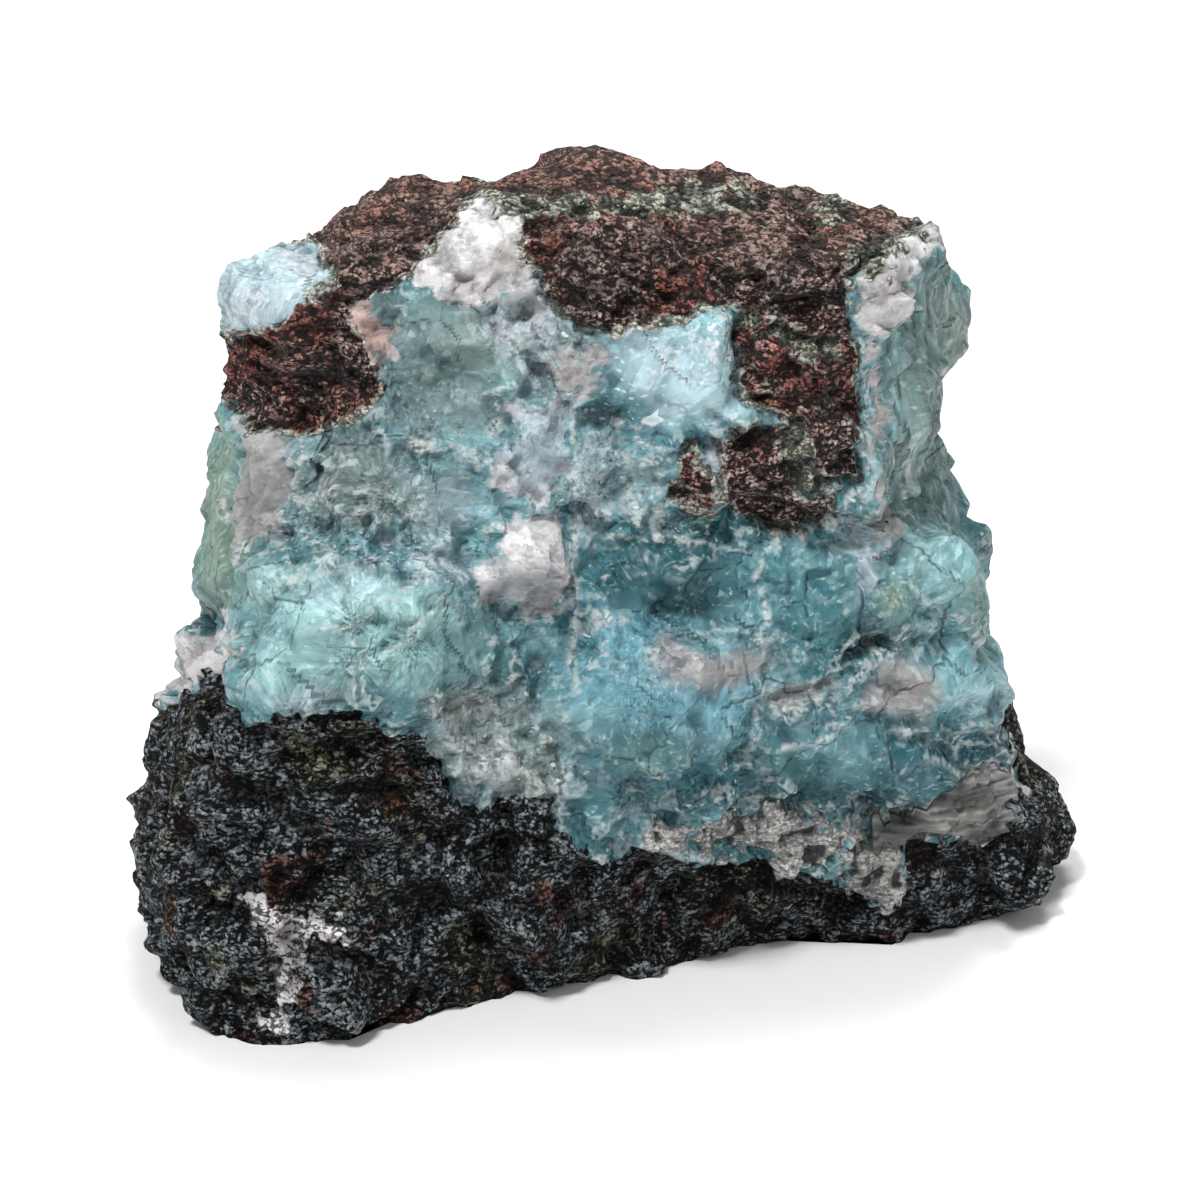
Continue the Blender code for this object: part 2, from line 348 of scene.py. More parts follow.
CALCITE = (
    ((470, 204), (526, 208), (530, 251), (545, 285), (556, 305), (530, 312), (500, 302), (462, 304),
     (436, 297), (412, 280), (440, 240)),
    ((546, 356), (560, 346), (582, 350), (604, 358), (607, 380), (586, 393), (556, 388)),
    ((488, 560), (497, 540), (506, 520), (520, 514), (540, 520), (556, 516), (564, 530), (568, 550),
     (569, 598), (540, 606), (500, 604), (478, 590), (468, 572)),
    ((513, 430), (520, 405), (545, 398), (569, 400), (569, 440), (565, 480), (540, 495), (515, 490),
     (490, 485), (480, 465), (500, 450)),
    ((240, 420), (262, 432), (284, 440), (290, 470), (284, 520), (275, 545), (250, 548), (238, 560),
     (236, 520), (243, 480)),
    ((150, 702), (170, 680), (185, 650), (205, 632), (225, 620), (236, 640), (232, 665), (215, 672),
     (200, 690)),
    ((862, 285), (868, 262), (905, 238), (938, 226), (955, 250), (930, 258), (908, 275), (905, 300),
     (897, 326), (880, 345), (868, 330)),
    ((866, 345), (880, 340), (884, 400), (882, 470), (890, 505), (886, 560), (874, 560), (868, 490),
     (863, 420)),
    ((352, 300), (366, 296), (384, 320), (392, 345), (388, 376), (378, 374), (364, 350), (354, 330)),
)
CALCITE_SPOTS = (
    ((244, 905), (262, 908), (300, 905), (325, 917), (352, 925), (335, 940), (318, 934), (306, 952),
     (302, 990), (278, 1004), (268, 975), (275, 950), (262, 930)),
    ((254, 1022), (286, 1018), (296, 1032), (262, 1038)),
)
FIBROUS_CALCITE = (
    (846, 842), (866, 822), (890, 808), (918, 794), (950, 776), (985, 768), (1012, 780), (1019, 816),
    (990, 836), (941, 842), (905, 850), (880, 848),
)
CALCITE_CRUST = (
    ((636, 846), (660, 825), (701, 819), (748, 813), (765, 802), (780, 793), (795, 810), (833, 819),
     (845, 831), (824, 846), (809, 862), (780, 870), (762, 850), (736, 850), (712, 847), (686, 840),
     (663, 850)),
    ((838, 850), (845, 832), (875, 830), (903, 842), (905, 892), (880, 904), (860, 897), (838, 877)),
)


# %% Signed distances
def depth_inside(place, outline):
    """Signed distance in mm to an outline: that of its nearest edge, positive for a place inside it.

    A place is inside where a ray from it crosses an odd number of edges.
    """
    corners = np.array(outline, float)
    nearest = np.full(place.shape[:-1], 1e12)
    inside = np.zeros(place.shape[:-1], bool)
    for start, end in zip(corners, np.roll(corners, -1, axis=0)):
        edge = end - start
        offset = place - start
        along = np.clip((offset @ edge) / (edge @ edge), 0.0, 1.0)
        away = offset - along[..., None] * edge
        nearest = np.minimum(nearest, (away**2).sum(-1))
        if start[1] != end[1]:
            spans = (start[1] > place[..., 1]) != (end[1] > place[..., 1])
            crossing = start[0] + (place[..., 1] - start[1]) * edge[0] / edge[1]
            inside ^= spans & (place[..., 0] < crossing)
    return np.sqrt(nearest) * PIXEL_MM * np.where(inside, 1.0, -1.0)


def deepest(place, outlines):
    """Signed distance to several outlines taken as one area: the largest of theirs."""
    return np.max([depth_inside(place, outline) for outline in outlines], axis=0)


BEND_MM, BEND_SIZE_MM = 14.0, 22.0
WAVER_MM, WAVER_SIZE_MM = 0.55, 3.2
BEND_FROM, BEND_OVER = 0.15, 0.6


def bent_place(points, normals):
    """Picture places of the points, with a small waver everywhere and a slow bend behind the face."""
    facing = normals @ TOWARDS_CAMERA
    behind = np.clip(BEND_FROM - facing, 0.0, BEND_OVER) / BEND_OVER
    slow = np.stack([soft_noise(points, BEND_SIZE_MM, seed) for seed in (301, 302)], -1)
    waver = np.stack([layered_noise(points, WAVER_SIZE_MM, seed) for seed in (310, 320)], -1)
    bend_mm = BEND_MM * behind[..., None] * slow + WAVER_MM * waver
    return photo_place(points) + bend_mm / PIXEL_MM


# Each mineral's outlines, and how far its border is torn, in mm.
TEAR_SIZE_MM = 4.5
MINERALS = {
    "basalt": ([BASALT_FOOT], 0.4),
    "cap": ([RED_CAP, *RED_PATCHES], 0.5),
    "rind": (GREEN_RINDS, 0.0),
    "calcite": (CALCITE, 1.1),
    "spot": (CALCITE_SPOTS, 0.9),
    "fibre": ([FIBROUS_CALCITE], 1.5),
}
CRUST_TEAR_MM, CRUST_TEAR_SIZE_MM = 1.3, 3.0

picture = bent_place(form, outward)
torn = layered_noise(form, TEAR_SIZE_MM, 331, 4, 0.6)
crust_torn = layered_noise(form, CRUST_TEAR_SIZE_MM, 333, 4, 0.7)
depths = {name: deepest(picture, outlines) + tear * torn for name, (outlines, tear) in MINERALS.items()}
depths["crust"] = deepest(picture, CALCITE_CRUST) + CRUST_TEAR_MM * crust_torn
print("share of the surface in basalt:", round(float((depths["basalt"] > 0).mean()), 2))


def share(depth, softness):
    """How much of a mineral there is: 0 outside, 1 inside, passing softly over the border."""
    t = np.clip(0.5 + 0.5 * depth / softness, 0.0, 1.0)
    return t * t * (3.0 - 2.0 * t)


# %% [markdown]
# ## Ledges
# Pectolite breaks in steps. Each ledge is a line drawn in the picture: the stone stands higher on
# its left-hand side, and the step dies out over a few millimetres, so each is a low terrace.
# White veins follow lines too. A vein changes the colour alone, so it needs only its nearness.

# %% Ledges, as height in mm, reach in mm, and the line that they follow
LEDGES = (
    (1.0, 7.0, ((237, 575), (240, 556), (258, 538), (279, 532), (300, 534))),
    (1.1, 5.0, ((255, 606), (261, 598), (287, 587), (316, 585), (336, 577), (352, 566))),
    (0.9, 6.0, ((300, 640), (330, 632), (360, 626), (389, 606), (412, 579), (441, 577))),
    (1.2, 6.0, ((452, 590), (425, 616), (407, 642), (389, 647), (365, 655))),
    (1.5, 7.0, ((757, 694), (756, 720), (750, 745), (746, 772))),
    (1.7, 8.0, ((880, 575), (906, 584), (927, 602), (950, 618), (977, 637), (995, 655))),
    (1.0, 6.0, ((1004, 711), (985, 716), (956, 722), (906, 725), (875, 735))),
    (0.8, 5.0, ((1005, 745), (985, 768), (955, 769), (936, 752), (909, 755))),
    (1.0, 6.0, ((845, 708), (820, 730), (790, 748), (765, 760))),
    (0.9, 5.0, ((545, 398), (569, 400), (572, 440), (575, 500), (573, 560))),
    (1.0, 5.0, ((385, 440), (420, 452), (455, 448), (475, 460), (490, 490))),
    (0.9, 6.0, ((600, 530), (640, 545), (690, 540), (735, 550), (765, 560))),
    (1.0, 6.0, ((735, 300), (700, 307), (640, 325), (600, 332), (570, 325))),
    (1.1, 6.0, ((860, 300), (862, 360), (862, 430), (862, 480), (835, 520), (790, 528), (735, 515))),
    (0.8, 5.0, ((290, 520), (310, 500), (345, 490), (390, 500), (420, 520), (460, 530))),
)
CREST_MM = 0.5
STEP_SLOPE_MM = 0.35
FADE_POWER = 1.5
ENDS_FADE = 4.0


def ledge_height(place):
    """Height of the terraces, and nearness to a crest: a ledge steps across its line and fades from it."""
    height = np.zeros(place.shape[:-1])
    nearness = np.zeros(place.shape[:-1])
    for rise, reach, line in LEDGES:
        points = np.array(line, float)
        nearest = np.full(place.shape[:-1], 1e12)
        side = np.zeros(place.shape[:-1])
        ends = np.zeros(place.shape[:-1])
        for index, (start, end) in enumerate(zip(points[:-1], points[1:])):
            edge = end - start
            offset = place - start
            run = (offset @ edge) / (edge @ edge)
            along = np.clip(run, 0.0, 1.0)
            away = np.sqrt(((offset - along[..., None] * edge) ** 2).sum(-1))
            closer = away < nearest
            nearest = np.where(closer, away, nearest)
            left = edge[0] * offset[..., 1] - edge[1] * offset[..., 0]
            side = np.where(closer, -np.sign(left), side)
            share_along = (index + along) / (len(points) - 1)
            from_end = np.minimum(share_along, 1.0 - share_along)
            ends = np.where(closer, np.clip(ENDS_FADE * from_end, 0.0, 1.0), ends)
        distance = nearest * PIXEL_MM
        fade = np.clip(1.0 - distance / reach, 0.0, 1.0) ** FADE_POWER * ends
        height += 0.5 * rise * fade * side * np.clip(distance / STEP_SLOPE_MM, 0.0, 1.0)
        on_crest = ends * np.exp(-((distance / CREST_MM) ** 2)) * (side > -0.5)
        nearness = np.maximum(nearness, on_crest)
    return height, nearness


# %% Veins, as width in mm and the line that they follow
VEINS = (
    (0.9, ((573, 400), (577, 440), (572, 480), (576, 520), (573, 560), (576, 600), (574, 640), (577, 690))),
    (0.8, ((782, 530), (762, 558), (752, 575), (762, 600), (768, 620), (760, 642))),
    (0.7, ((862, 495), (866, 515), (873, 532))),
    (0.6, ((352, 640), (354, 665), (352, 690), (354, 715))),
    (0.6, ((362, 642), (365, 668), (363, 700))),
    (0.7, ((620, 480), (628, 500), (645, 510), (668, 506))),
    (0.6, ((430, 560), (455, 566), (478, 590), (470, 606))),
    (0.6, ((870, 330), (868, 380), (872, 430), (866, 490))),
    (0.6, ((640, 440), (665, 450), (680, 446))),
    (0.7, ((560, 780), (556, 810), (566, 840))),
    (0.6, ((690, 640), (715, 628), (748, 632))),
    (0.5, ((905, 420), (912, 470), (905, 520))),
)


def vein_share(place):
    """Nearness to the white veins: a narrow bell across each line, of the width given in mm."""
    veins = np.zeros(place.shape[:-1])
    for width, line in VEINS:
        points = np.array(line, float)
        for start, end in zip(points[:-1], points[1:]):
            edge = end - start
            along = np.clip(((place - start) @ edge) / (edge @ edge), 0.0, 1.0)
            away_mm = np.sqrt(((place - start - along[..., None] * edge) ** 2).sum(-1)) * PIXEL_MM
            veins = np.maximum(veins, np.exp(-((2.0 * away_mm / width) ** 2)))
    return veins


FACING_OVER = 0.2

facing_camera = np.clip((outward @ TOWARDS_CAMERA) / FACING_OVER, 0.0, 1.0)
step_height, near_crest = ledge_height(picture)
step_height *= facing_camera
crest = np.maximum(near_crest, vein_share(picture)) * facing_camera
print("highest ledge, in mm:", round(float(step_height.max()), 2))

# %% [markdown]
# ## Knobs and pits
# The larger knobs, pits and hollows of the showing face are low domes over ellipses in the picture.
# The power on the dome's profile makes their rims steep, as the edges of a broken lump are.

# %% Knobs and pits, as place in the picture, half widths, turn in degrees, and height in mm
KNOBS = (
    (520, 560, 54, 48, 0, 2.6), (490, 240, 46, 42, -20, 1.8), (572, 372, 36, 28, 0, 2.2),
    (540, 440, 34, 50, 0, 1.6), (485, 336, 12, 10, 0, 1.0), (358, 340, 26, 36, 20, 1.6),
    (275, 295, 58, 40, 0, 1.2), (345, 622, 52, 34, 0, 1.0), (300, 560, 60, 30, 0, 1.0),
    (440, 600, 50, 34, 0, 0.9), (420, 670, 52, 30, 0, 0.9), (650, 700, 100, 74, 0, 2.4),
    (625, 665, 50, 30, 0, 0.8), (705, 735, 52, 46, 0, 1.0), (825, 585, 62, 44, 0, 2.2),
    (893, 603, 34, 22, 0, 2.0), (945, 562, 46, 34, 0, 1.2), (955, 690, 56, 38, 0, 1.8),
    (815, 732, 50, 26, -20, 1.8), (900, 762, 90, 32, -10, 1.8), (265, 670, 30, 40, 0, 1.2),
    (262, 572, 26, 34, 0, 1.2), (885, 290, 20, 36, 0, 1.2), (700, 850, 46, 14, 0, 0.8),
    (800, 835, 50, 24, 0, 0.8), (950, 812, 60, 26, -20, 1.0), (308, 726, 16, 10, 0, 0.8),
    (660, 365, 70, 40, -20, 0.8), (780, 370, 44, 36, 0, 1.2), (600, 240, 60, 30, 0, 1.0),
    (750, 240, 70, 30, 0, 1.2), (700, 500, 30, 14, 0, 1.0), (820, 505, 30, 12, 0, 0.9),
    (690, 612, 80, 18, 0, -0.7), (690, 565, 76, 34, 0, 1.6), (440, 378, 66, 34, 10, -1.2),
    (752, 441, 26, 10, 0, -2.4), (897, 791, 10, 7, 0, -1.6), (202, 620, 8, 22, 0, -2.2),
    (860, 650, 40, 12, 20, -1.6), (600, 415, 32, 20, 0, -1.2), (640, 640, 90, 10, 0, -0.8),
    (800, 690, 40, 14, 10, -1.4), (870, 690, 30, 12, 0, -1.0), (500, 700, 70, 50, 0, -1.2),
    (850, 800, 60, 16, -20, -1.4), (560, 305, 30, 18, 0, -1.0), (620, 300, 60, 20, 0, -1.0),
    (370, 790, 60, 16, 0, -1.2), (260, 800, 50, 20, 0, -1.0), (430, 900, 70, 24, 0, -1.2),
    (215, 905, 36, 8, -25, -1.4), (290, 950, 20, 30, 0, -0.8), (700, 900, 80, 16, -10, -0.8),
    (330, 760, 50, 14, 0, 0.9), (380, 830, 40, 22, 0, 1.0), (330, 380, 40, 30, 0, -1.6),
    (270, 360, 34, 14, -20, 1.0), (410, 230, 40, 22, -30, 1.0), (820, 300, 40, 14, 10, -1.0),
)
KNOB_POWER = 0.7
RAGGED_PIXELS = 9.0
RAGGED_SIZE_MM = 6.0


def turned_ellipse(place, across, down, half_width, half_height, turn):
    """Squared distance from an ellipse's middle, measured in its own half widths."""
    cosine, sine = math.cos(math.radians(turn)), math.sin(math.radians(turn))
    offset = place - (across, down)
    along = (cosine * offset[..., 0] - sine * offset[..., 1]) / half_width
    beside = (sine * offset[..., 0] + cosine * offset[..., 1]) / half_height
    return along**2 + beside**2


def knob_height(place):
    """Height of all the knobs and pits: each is its rise times a dome that ends at its ellipse."""
    height = np.zeros(place.shape[:-1])
    for *ellipse, rise in KNOBS:
        spread = turned_ellipse(place, *ellipse)
        height += rise * np.clip(1.0 - spread, 0.0, 1.0) ** KNOB_POWER
    return height


shake = np.stack([layered_noise(form, RAGGED_SIZE_MM, seed, 3) for seed in (341, 351)], -1)
ragged = picture + RAGGED_PIXELS * shake
knobs = knob_height(ragged) * facing_camera
print("knobs and pits, in mm, from", round(float(knobs.min()), 2), "to", round(float(knobs.max()), 2))

# %% [markdown]
# ## Sprays of needles
# Pectolite grows as sprays: needles that radiate from a centre. Where the photograph shows a spray
# its centre is given. Elsewhere centres are scattered at random, one to each cell of a lattice.
# Each point keeps its offset from its nearest centre, and the material turns that into needles.
# In one ellipse of the face no scattered centre counts, so that no star of needles shows there.

# %% Spray centres, as place in the picture, reach in mm, and depth in mm under the surface
SPRAYS = (
    (357, 624, 9.0, 1.2), (412, 646, 10.0, 1.2), (634, 668, 11.0, 3.0), (1000, 695, 11.0, 2.0),
    (275, 610, 7.0, 3.5), (690, 760, 10.0, 5.0), (575, 500, 22.0, 2.5), (820, 640, 9.0, 4.0),
    (905, 620, 7.0, 4.0), (455, 420, 8.0, 6.0), (830, 790, 9.0, 5.0), (930, 790, 9.0, 5.0),
    (690, 620, 9.0, 5.0), (260, 720, 7.0, 4.0), (500, 480, 8.0, 6.0),
)
SPRAY_CELL_MM = 15.0
SCATTERED_REACH = 0.55
SPRAY_WAVER_MM, SPRAY_WAVER_SIZE_MM = 0.9, 4.0
SPRAY_SEED = 41
NUMBER_STEP = 0.37
SHOWING_FROM = 0.1
FAR = 9.0
WITHOUT_CENTRES = (700, 660, 74, 44, 0)


def spray_field(points, normals, place):
    """Offset in mm from the nearest spray centre, that spray's random number, and the way to its border.

    Distances are compared as shares of each spray's reach, so a large spray pushes its
    neighbours' borders away. The border is where the nearest and the second nearest are equal.
    """
    waver = np.stack([layered_noise(points, SPRAY_WAVER_SIZE_MM, 400 + c, 3) for c in range(3)], -1)
    wavered = points + SPRAY_WAVER_MM * waver
    nearest = np.full(points.shape[:-1], FAR)
    second = np.full(points.shape[:-1], FAR)
    offset = np.zeros(points.shape)
    tone = np.zeros(points.shape[:-1])

    def compare(centre, reach, number, allowed):
        """Takes a spray for the points that it is nearer to than any before it."""
        nonlocal nearest, second, offset, tone
        distance = np.where(allowed, np.sqrt(((wavered - centre) ** 2).sum(-1)) / reach, FAR)
        nearer = distance < nearest
        second = np.where(nearer, nearest, np.minimum(second, distance))
        nearest = np.where(nearer, distance, nearest)
        offset = np.where(nearer[..., None], points - centre, offset)
        tone = np.where(nearer, number, tone)

    base = np.floor(points / SPRAY_CELL_MM).astype(int)
    scatter_here = turned_ellipse(place, *WITHOUT_CENTRES) > 1.0
    for i in (-1, 0, 1):
        for j in (-1, 0, 1):
            for k in (-1, 0, 1):
                cell = base + (i, j, k)
                within = np.stack([scattered(cell, SPRAY_SEED, c) for c in range(3)], -1)
                centre = SPRAY_CELL_MM * (cell + within)
                number = scattered(cell, SPRAY_SEED, 3)
                compare(centre, SCATTERED_REACH * SPRAY_CELL_MM, number, scatter_here)
    showing = normals @ TOWARDS_CAMERA > SHOWING_FROM
    for index, (across, down, reach, depth) in enumerate(SPRAYS):
        gap = ((place - (across, down)) ** 2).sum(-1) + np.where(showing, 0.0, 1e9)
        at = np.unravel_index(np.argmin(gap), gap.shape)
        compare(points[at] - depth * normals[at], reach, (index * NUMBER_STEP) % 1.0, showing)
    return offset, tone, second - nearest


spray_offset, spray_tone, spray_border = spray_field(form, outward, picture)
spray_length = np.maximum(np.linalg.norm(spray_offset, axis=-1, keepdims=True), 1e-6)
spray_way = spray_offset / spray_length
print("mean needle length, in mm:", round(float(spray_length.mean()), 1))

# %% [markdown]
# ## Smooth lobes and shattered patches
# Where a spray grew freely it is a smooth, waxy lobe. Between the lobes the needles are crushed
# into white chips. The smooth lobes are listed, and the rest counts as shattered. The
# sides and the back are mostly smooth. One patch on the face is covered in pale flakes.

# %% Smooth lobes, as place in the picture, half widths, turn in degrees, and strength
SMOOTH_LOBES = (
    (430, 360, 90, 80, 0, 0.8), (420, 480, 90, 60, 0, 0.5), (710, 665, 60, 30, 0, 1.0),
    (900, 690, 40, 36, 0, 1.0), (690, 585, 110, 50, 0, 1.0), (820, 590, 80, 56, 0, 1.0),
    (660, 715, 110, 80, 0, 1.0), (860, 760, 130, 40, -8, 1.0), (925, 580, 80, 50, 10, 0.9),
    (950, 690, 70, 44, 0, 0.9), (790, 665, 40, 40, 0, 0.6), (350, 640, 150, 72, 0, 1.1),
    (925, 380, 60, 150, 0, 0.8), (215, 500, 50, 130, 0, 1.0), (250, 580, 50, 60, 0, 0.8),
    (265, 680, 50, 50, 0, 0.8), (545, 640, 50, 26, 0, 0.5), (600, 800, 50, 40, 0, 0.5),
    (280, 290, 70, 50, 0, 0.9), (675, 372, 84, 56, -10, 1.0), (470, 590, 60, 50, 0, 0.5),
    (600, 560, 50, 40, 0, 0.6),
)
FLAKY_PATCH = (672, 372, 74, 48, 15)
FLAKY_EDGE = 1.2
LOBE_EDGE = 1.25
SIDES_SMOOTH = 0.85
SHATTER_SIZE_MM = 4.0


def shattered_share(points, place):
    """How crushed the pectolite is: high away from the smooth lobes, with ragged borders."""
    smooth = np.zeros(place.shape[:-1])
    for *ellipse, strength in SMOOTH_LOBES:
        spread = turned_ellipse(place, *ellipse)
        smooth = np.maximum(smooth, strength * np.clip(LOBE_EDGE - spread, 0.0, 1.0))
    clear = np.where(facing_camera > 0.5, smooth, np.maximum(smooth, SIDES_SMOOTH))
    return np.clip(1.0 - clear + 0.3 * layered_noise(points, SHATTER_SIZE_MM, 361, 4, 0.6), 0.0, 1.0)


shattered = shattered_share(form, ragged)
flaky = np.clip(FLAKY_EDGE - turned_ellipse(ragged, *FLAKY_PATCH), 0.0, 1.0) * facing_camera
print("mean shattered share:", round(float(shattered.mean()), 2))

# %% [markdown]
# ## Streaks
# On the right side the vein is cut along its needles, so the face is streaked upright. The fibrous
# calcite at the foot is streaked across. Noise read at places squeezed along a direction is drawn
# out along it, so the squeezed places are kept on the mesh.

# %% Streaks
SIDE_FACE = (925, 400, 74, 190, 0)
SIDE_EDGE = 1.4
SIDE_TURN = 4.0
DRAWN_OUT = 7.0
FIBRE_MARGIN_MM = 1.5

on_side_face = np.clip(SIDE_EDGE - turned_ellipse(ragged, *SIDE_FACE), 0.0, 1.0)
on_side_face *= np.clip(SIDE_TURN * outward[..., 0], 0.0, 1.0)
shattered *= 1.0 - SIDES_SMOOTH * on_side_face
streak_place = np.where(
    (depths["fibre"] > -FIBRE_MARGIN_MM)[..., None],
    form / (DRAWN_OUT, DRAWN_OUT, 1.0),
    np.where((on_side_face > 0.0)[..., None], form / (1.0, 1.0, DRAWN_OUT), 0.0),
)
print("share of the surface with streaks:", round(float((streak_place[..., 2] != 0.0).mean()), 2))

# %% [markdown]
# ## Relief
# Each mineral breaks in its own way, so each has its own relief, in millimetres, and the minerals'
# shares mix them. Basalt is grainy rubble. The red cap is the same rock, weathered into small
# plates. Pectolite breaks into petals along its needles, and into blocks where it is crushed.
# Calcite cleaves into small flat faces. On two calm columns, at the left and right edges of the
# face, the pectolite's relief is lower.

# %% Relief of each mineral
PLATE_SQUEEZE = 1.7
PETAL_FAN = 2.6
PETAL_LENGTH_MM = 6.5
PETAL_BORDER = 0.25
FIBRE_DRAW = 6.0


def rubble_relief(points, width, tilt, step, seed):
    """Rubble: small tilted faces, smaller ones on them, a grain of about a millimetre, and pits."""
    height = broken_faces(points, width, tilt, step, seed)
    height += broken_faces(points, 2.4, 0.3, 0.15, seed + 1)
    pits = np.clip(layered_noise(points, 3.5, seed + 3, 3) - 0.35, 0.0, 0.6)
    return height + 0.1 * layered_noise(points, 1.5, seed + 2, 2) - 1.2 * pits


def pectolite_relief(points, offset, way, border, crushed, calmness):
    """Petals: broken faces read mostly at the needles' direction, so they fan out, over faces in space.

    The petals sink to nothing where one spray meets the next. Blocks break up the crushed places.
    """
    height = broken_faces(points, 7.0, 0.27, 0.35, 71, 16.0) * (1.0 - 0.6 * calmness)
    petals = broken_faces(way * PETAL_FAN + offset / PETAL_LENGTH_MM, 1.0, 0.3, 0.3, 72, 16.0)
    height += petals * np.clip(border / PETAL_BORDER, 0.0, 1.0) * (1.0 - 0.8 * calmness)
    blocks = broken_faces(points, 5.0, 0.4, 0.5, 75, 30.0) + broken_faces(points, 2.6, 0.3, 0.2, 73, 40.0)
    return height + crushed * (1.0 - 0.8 * calmness) * blocks


def calcite_relief(points):
    """Cleaved lumps: flat faces of a few millimetres, with smaller ones on them."""
    return broken_faces(points, 6.0, 0.4, 0.4, 81, 60.0) + broken_faces(points, 2.4, 0.3, 0.15, 82, 40.0)


def crust_relief(points):
    """A scabby crust: ridged noise, which is high where soft noise crosses zero."""
    ridged = 1.0 - 2.0 * np.abs(layered_noise(points, 2.6, 91, 3))
    return 0.5 + 0.6 * ridged + broken_faces(points, 2.2, 0.4, 0.3, 92)


def fibre_relief(points):
    """Fibres that run across the face: layered noise, stretched along X."""
    return 0.8 * layered_noise(points / (FIBRE_DRAW, 1.0, 1.0), 1.6, 95, 4, 0.7)


# %% Relief of the whole surface
CALM_PLACES = ((212, 510, 40, 120, 0), (990, 490, 50, 190, 0))
CALM_EDGE = 1.5

in_basalt = share(depths["basalt"], 0.5)
in_cap = share(depths["cap"], 0.5) * (1.0 - in_basalt)
in_calcite = share(depths["calcite"], 0.8)
in_crust = share(depths["crust"], 0.6)
in_fibres = share(depths["fibre"], 0.6)
calm_columns = [np.clip(CALM_EDGE - turned_ellipse(picture, *spot), 0.0, 1.0) for spot in CALM_PLACES]
calm = np.max(calm_columns, axis=0)
relief = pectolite_relief(form, spray_offset, spray_way, spray_border, shattered, calm) + step_height
relief += in_calcite * (1.0 - in_basalt) * (calcite_relief(form) + 0.25 - 0.6 * relief)
# Each mineral's share, its own relief, and how far it stands out from the pectolite, in mm.
COVERS = (
    (in_cap, rubble_relief(form * np.array([1.0, 1.0, PLATE_SQUEEZE]), 5.0, 0.26, 0.35, 61), 0.2),
    (in_basalt, rubble_relief(form, 7.0, 0.34, 0.4, 51), 0.0),
    (in_crust, crust_relief(form), 0.4),
    (in_fibres, fibre_relief(form), 0.1),
)
for covered, own_relief, raised in COVERS:
    relief += covered * (own_relief + raised - relief)
relief += knobs
fine = moved_out(form, outward, relief * summit_share)
print("relief, in mm, from", round(float(relief.min()), 2), "to", round(float(relief.max()), 2))

# %% [markdown]
# ## Worn edges and painted shade
# Broken edges of pectolite crush to white powder, and the hollows get painted shade. How far each
# point stands out from its surroundings tells which is which: the relief less its own average
# nearby. Blender has a pointiness value for this too, but it changes with the mesh's density. The
# relief is known here in millimetres, so it is used instead.

# %% Worn edges
def nearby_mean(values, reach):
    """Mean over a square of the grid, reach points each way, wrapping round the stone."""
    window = 2 * reach + 1
    across = sum(np.roll(values, shift, axis=1) for shift in range(-reach, reach + 1)) / window
    padded = np.pad(across, ((reach, reach), (0, 0)), mode="edge")
    rows = values.shape[0]
    return sum(padded[shift:shift + rows] for shift in range(window)) / window


# The height in mm that counts as standing out fully, close by and further off.
NEAR_RISE_MM, WIDE_RISE_MM = 0.12, 0.3
above_near = (relief - nearby_mean(relief, 3)) / NEAR_RISE_MM
above_wide = (relief - nearby_mean(relief, 8)) / WIDE_RISE_MM
standing_out = 0.6 * above_near + 0.4 * above_wide
print("standing out, spread:", round(float(standing_out.std()), 2))

# %% [markdown]
# ## Colours of the pectolite and the calcite
# The blue runs from milky sky to deep teal, with green and olive towards the edges. A slow noise
# mixes the usual tones, and stains given one by one then pull it towards what each place shows. The
# calcite is white with stains of its own. The patches are slow noise for the weathering.
# A few of the stains are painted shadow, under ledges and lumps.

# %% Tones and stains, as place in the picture, half widths, turn in degrees, and strength
def from_hex(code):
    """A colour written as sRGB hex, turned to the linear values that shading works in."""
    value = np.array([int(code[i:i + 2], 16) for i in (1, 3, 5)]) / 255.0
    return np.where(value <= 0.04045, value / 12.92, ((value + 0.055) / 1.055) ** 2.4)


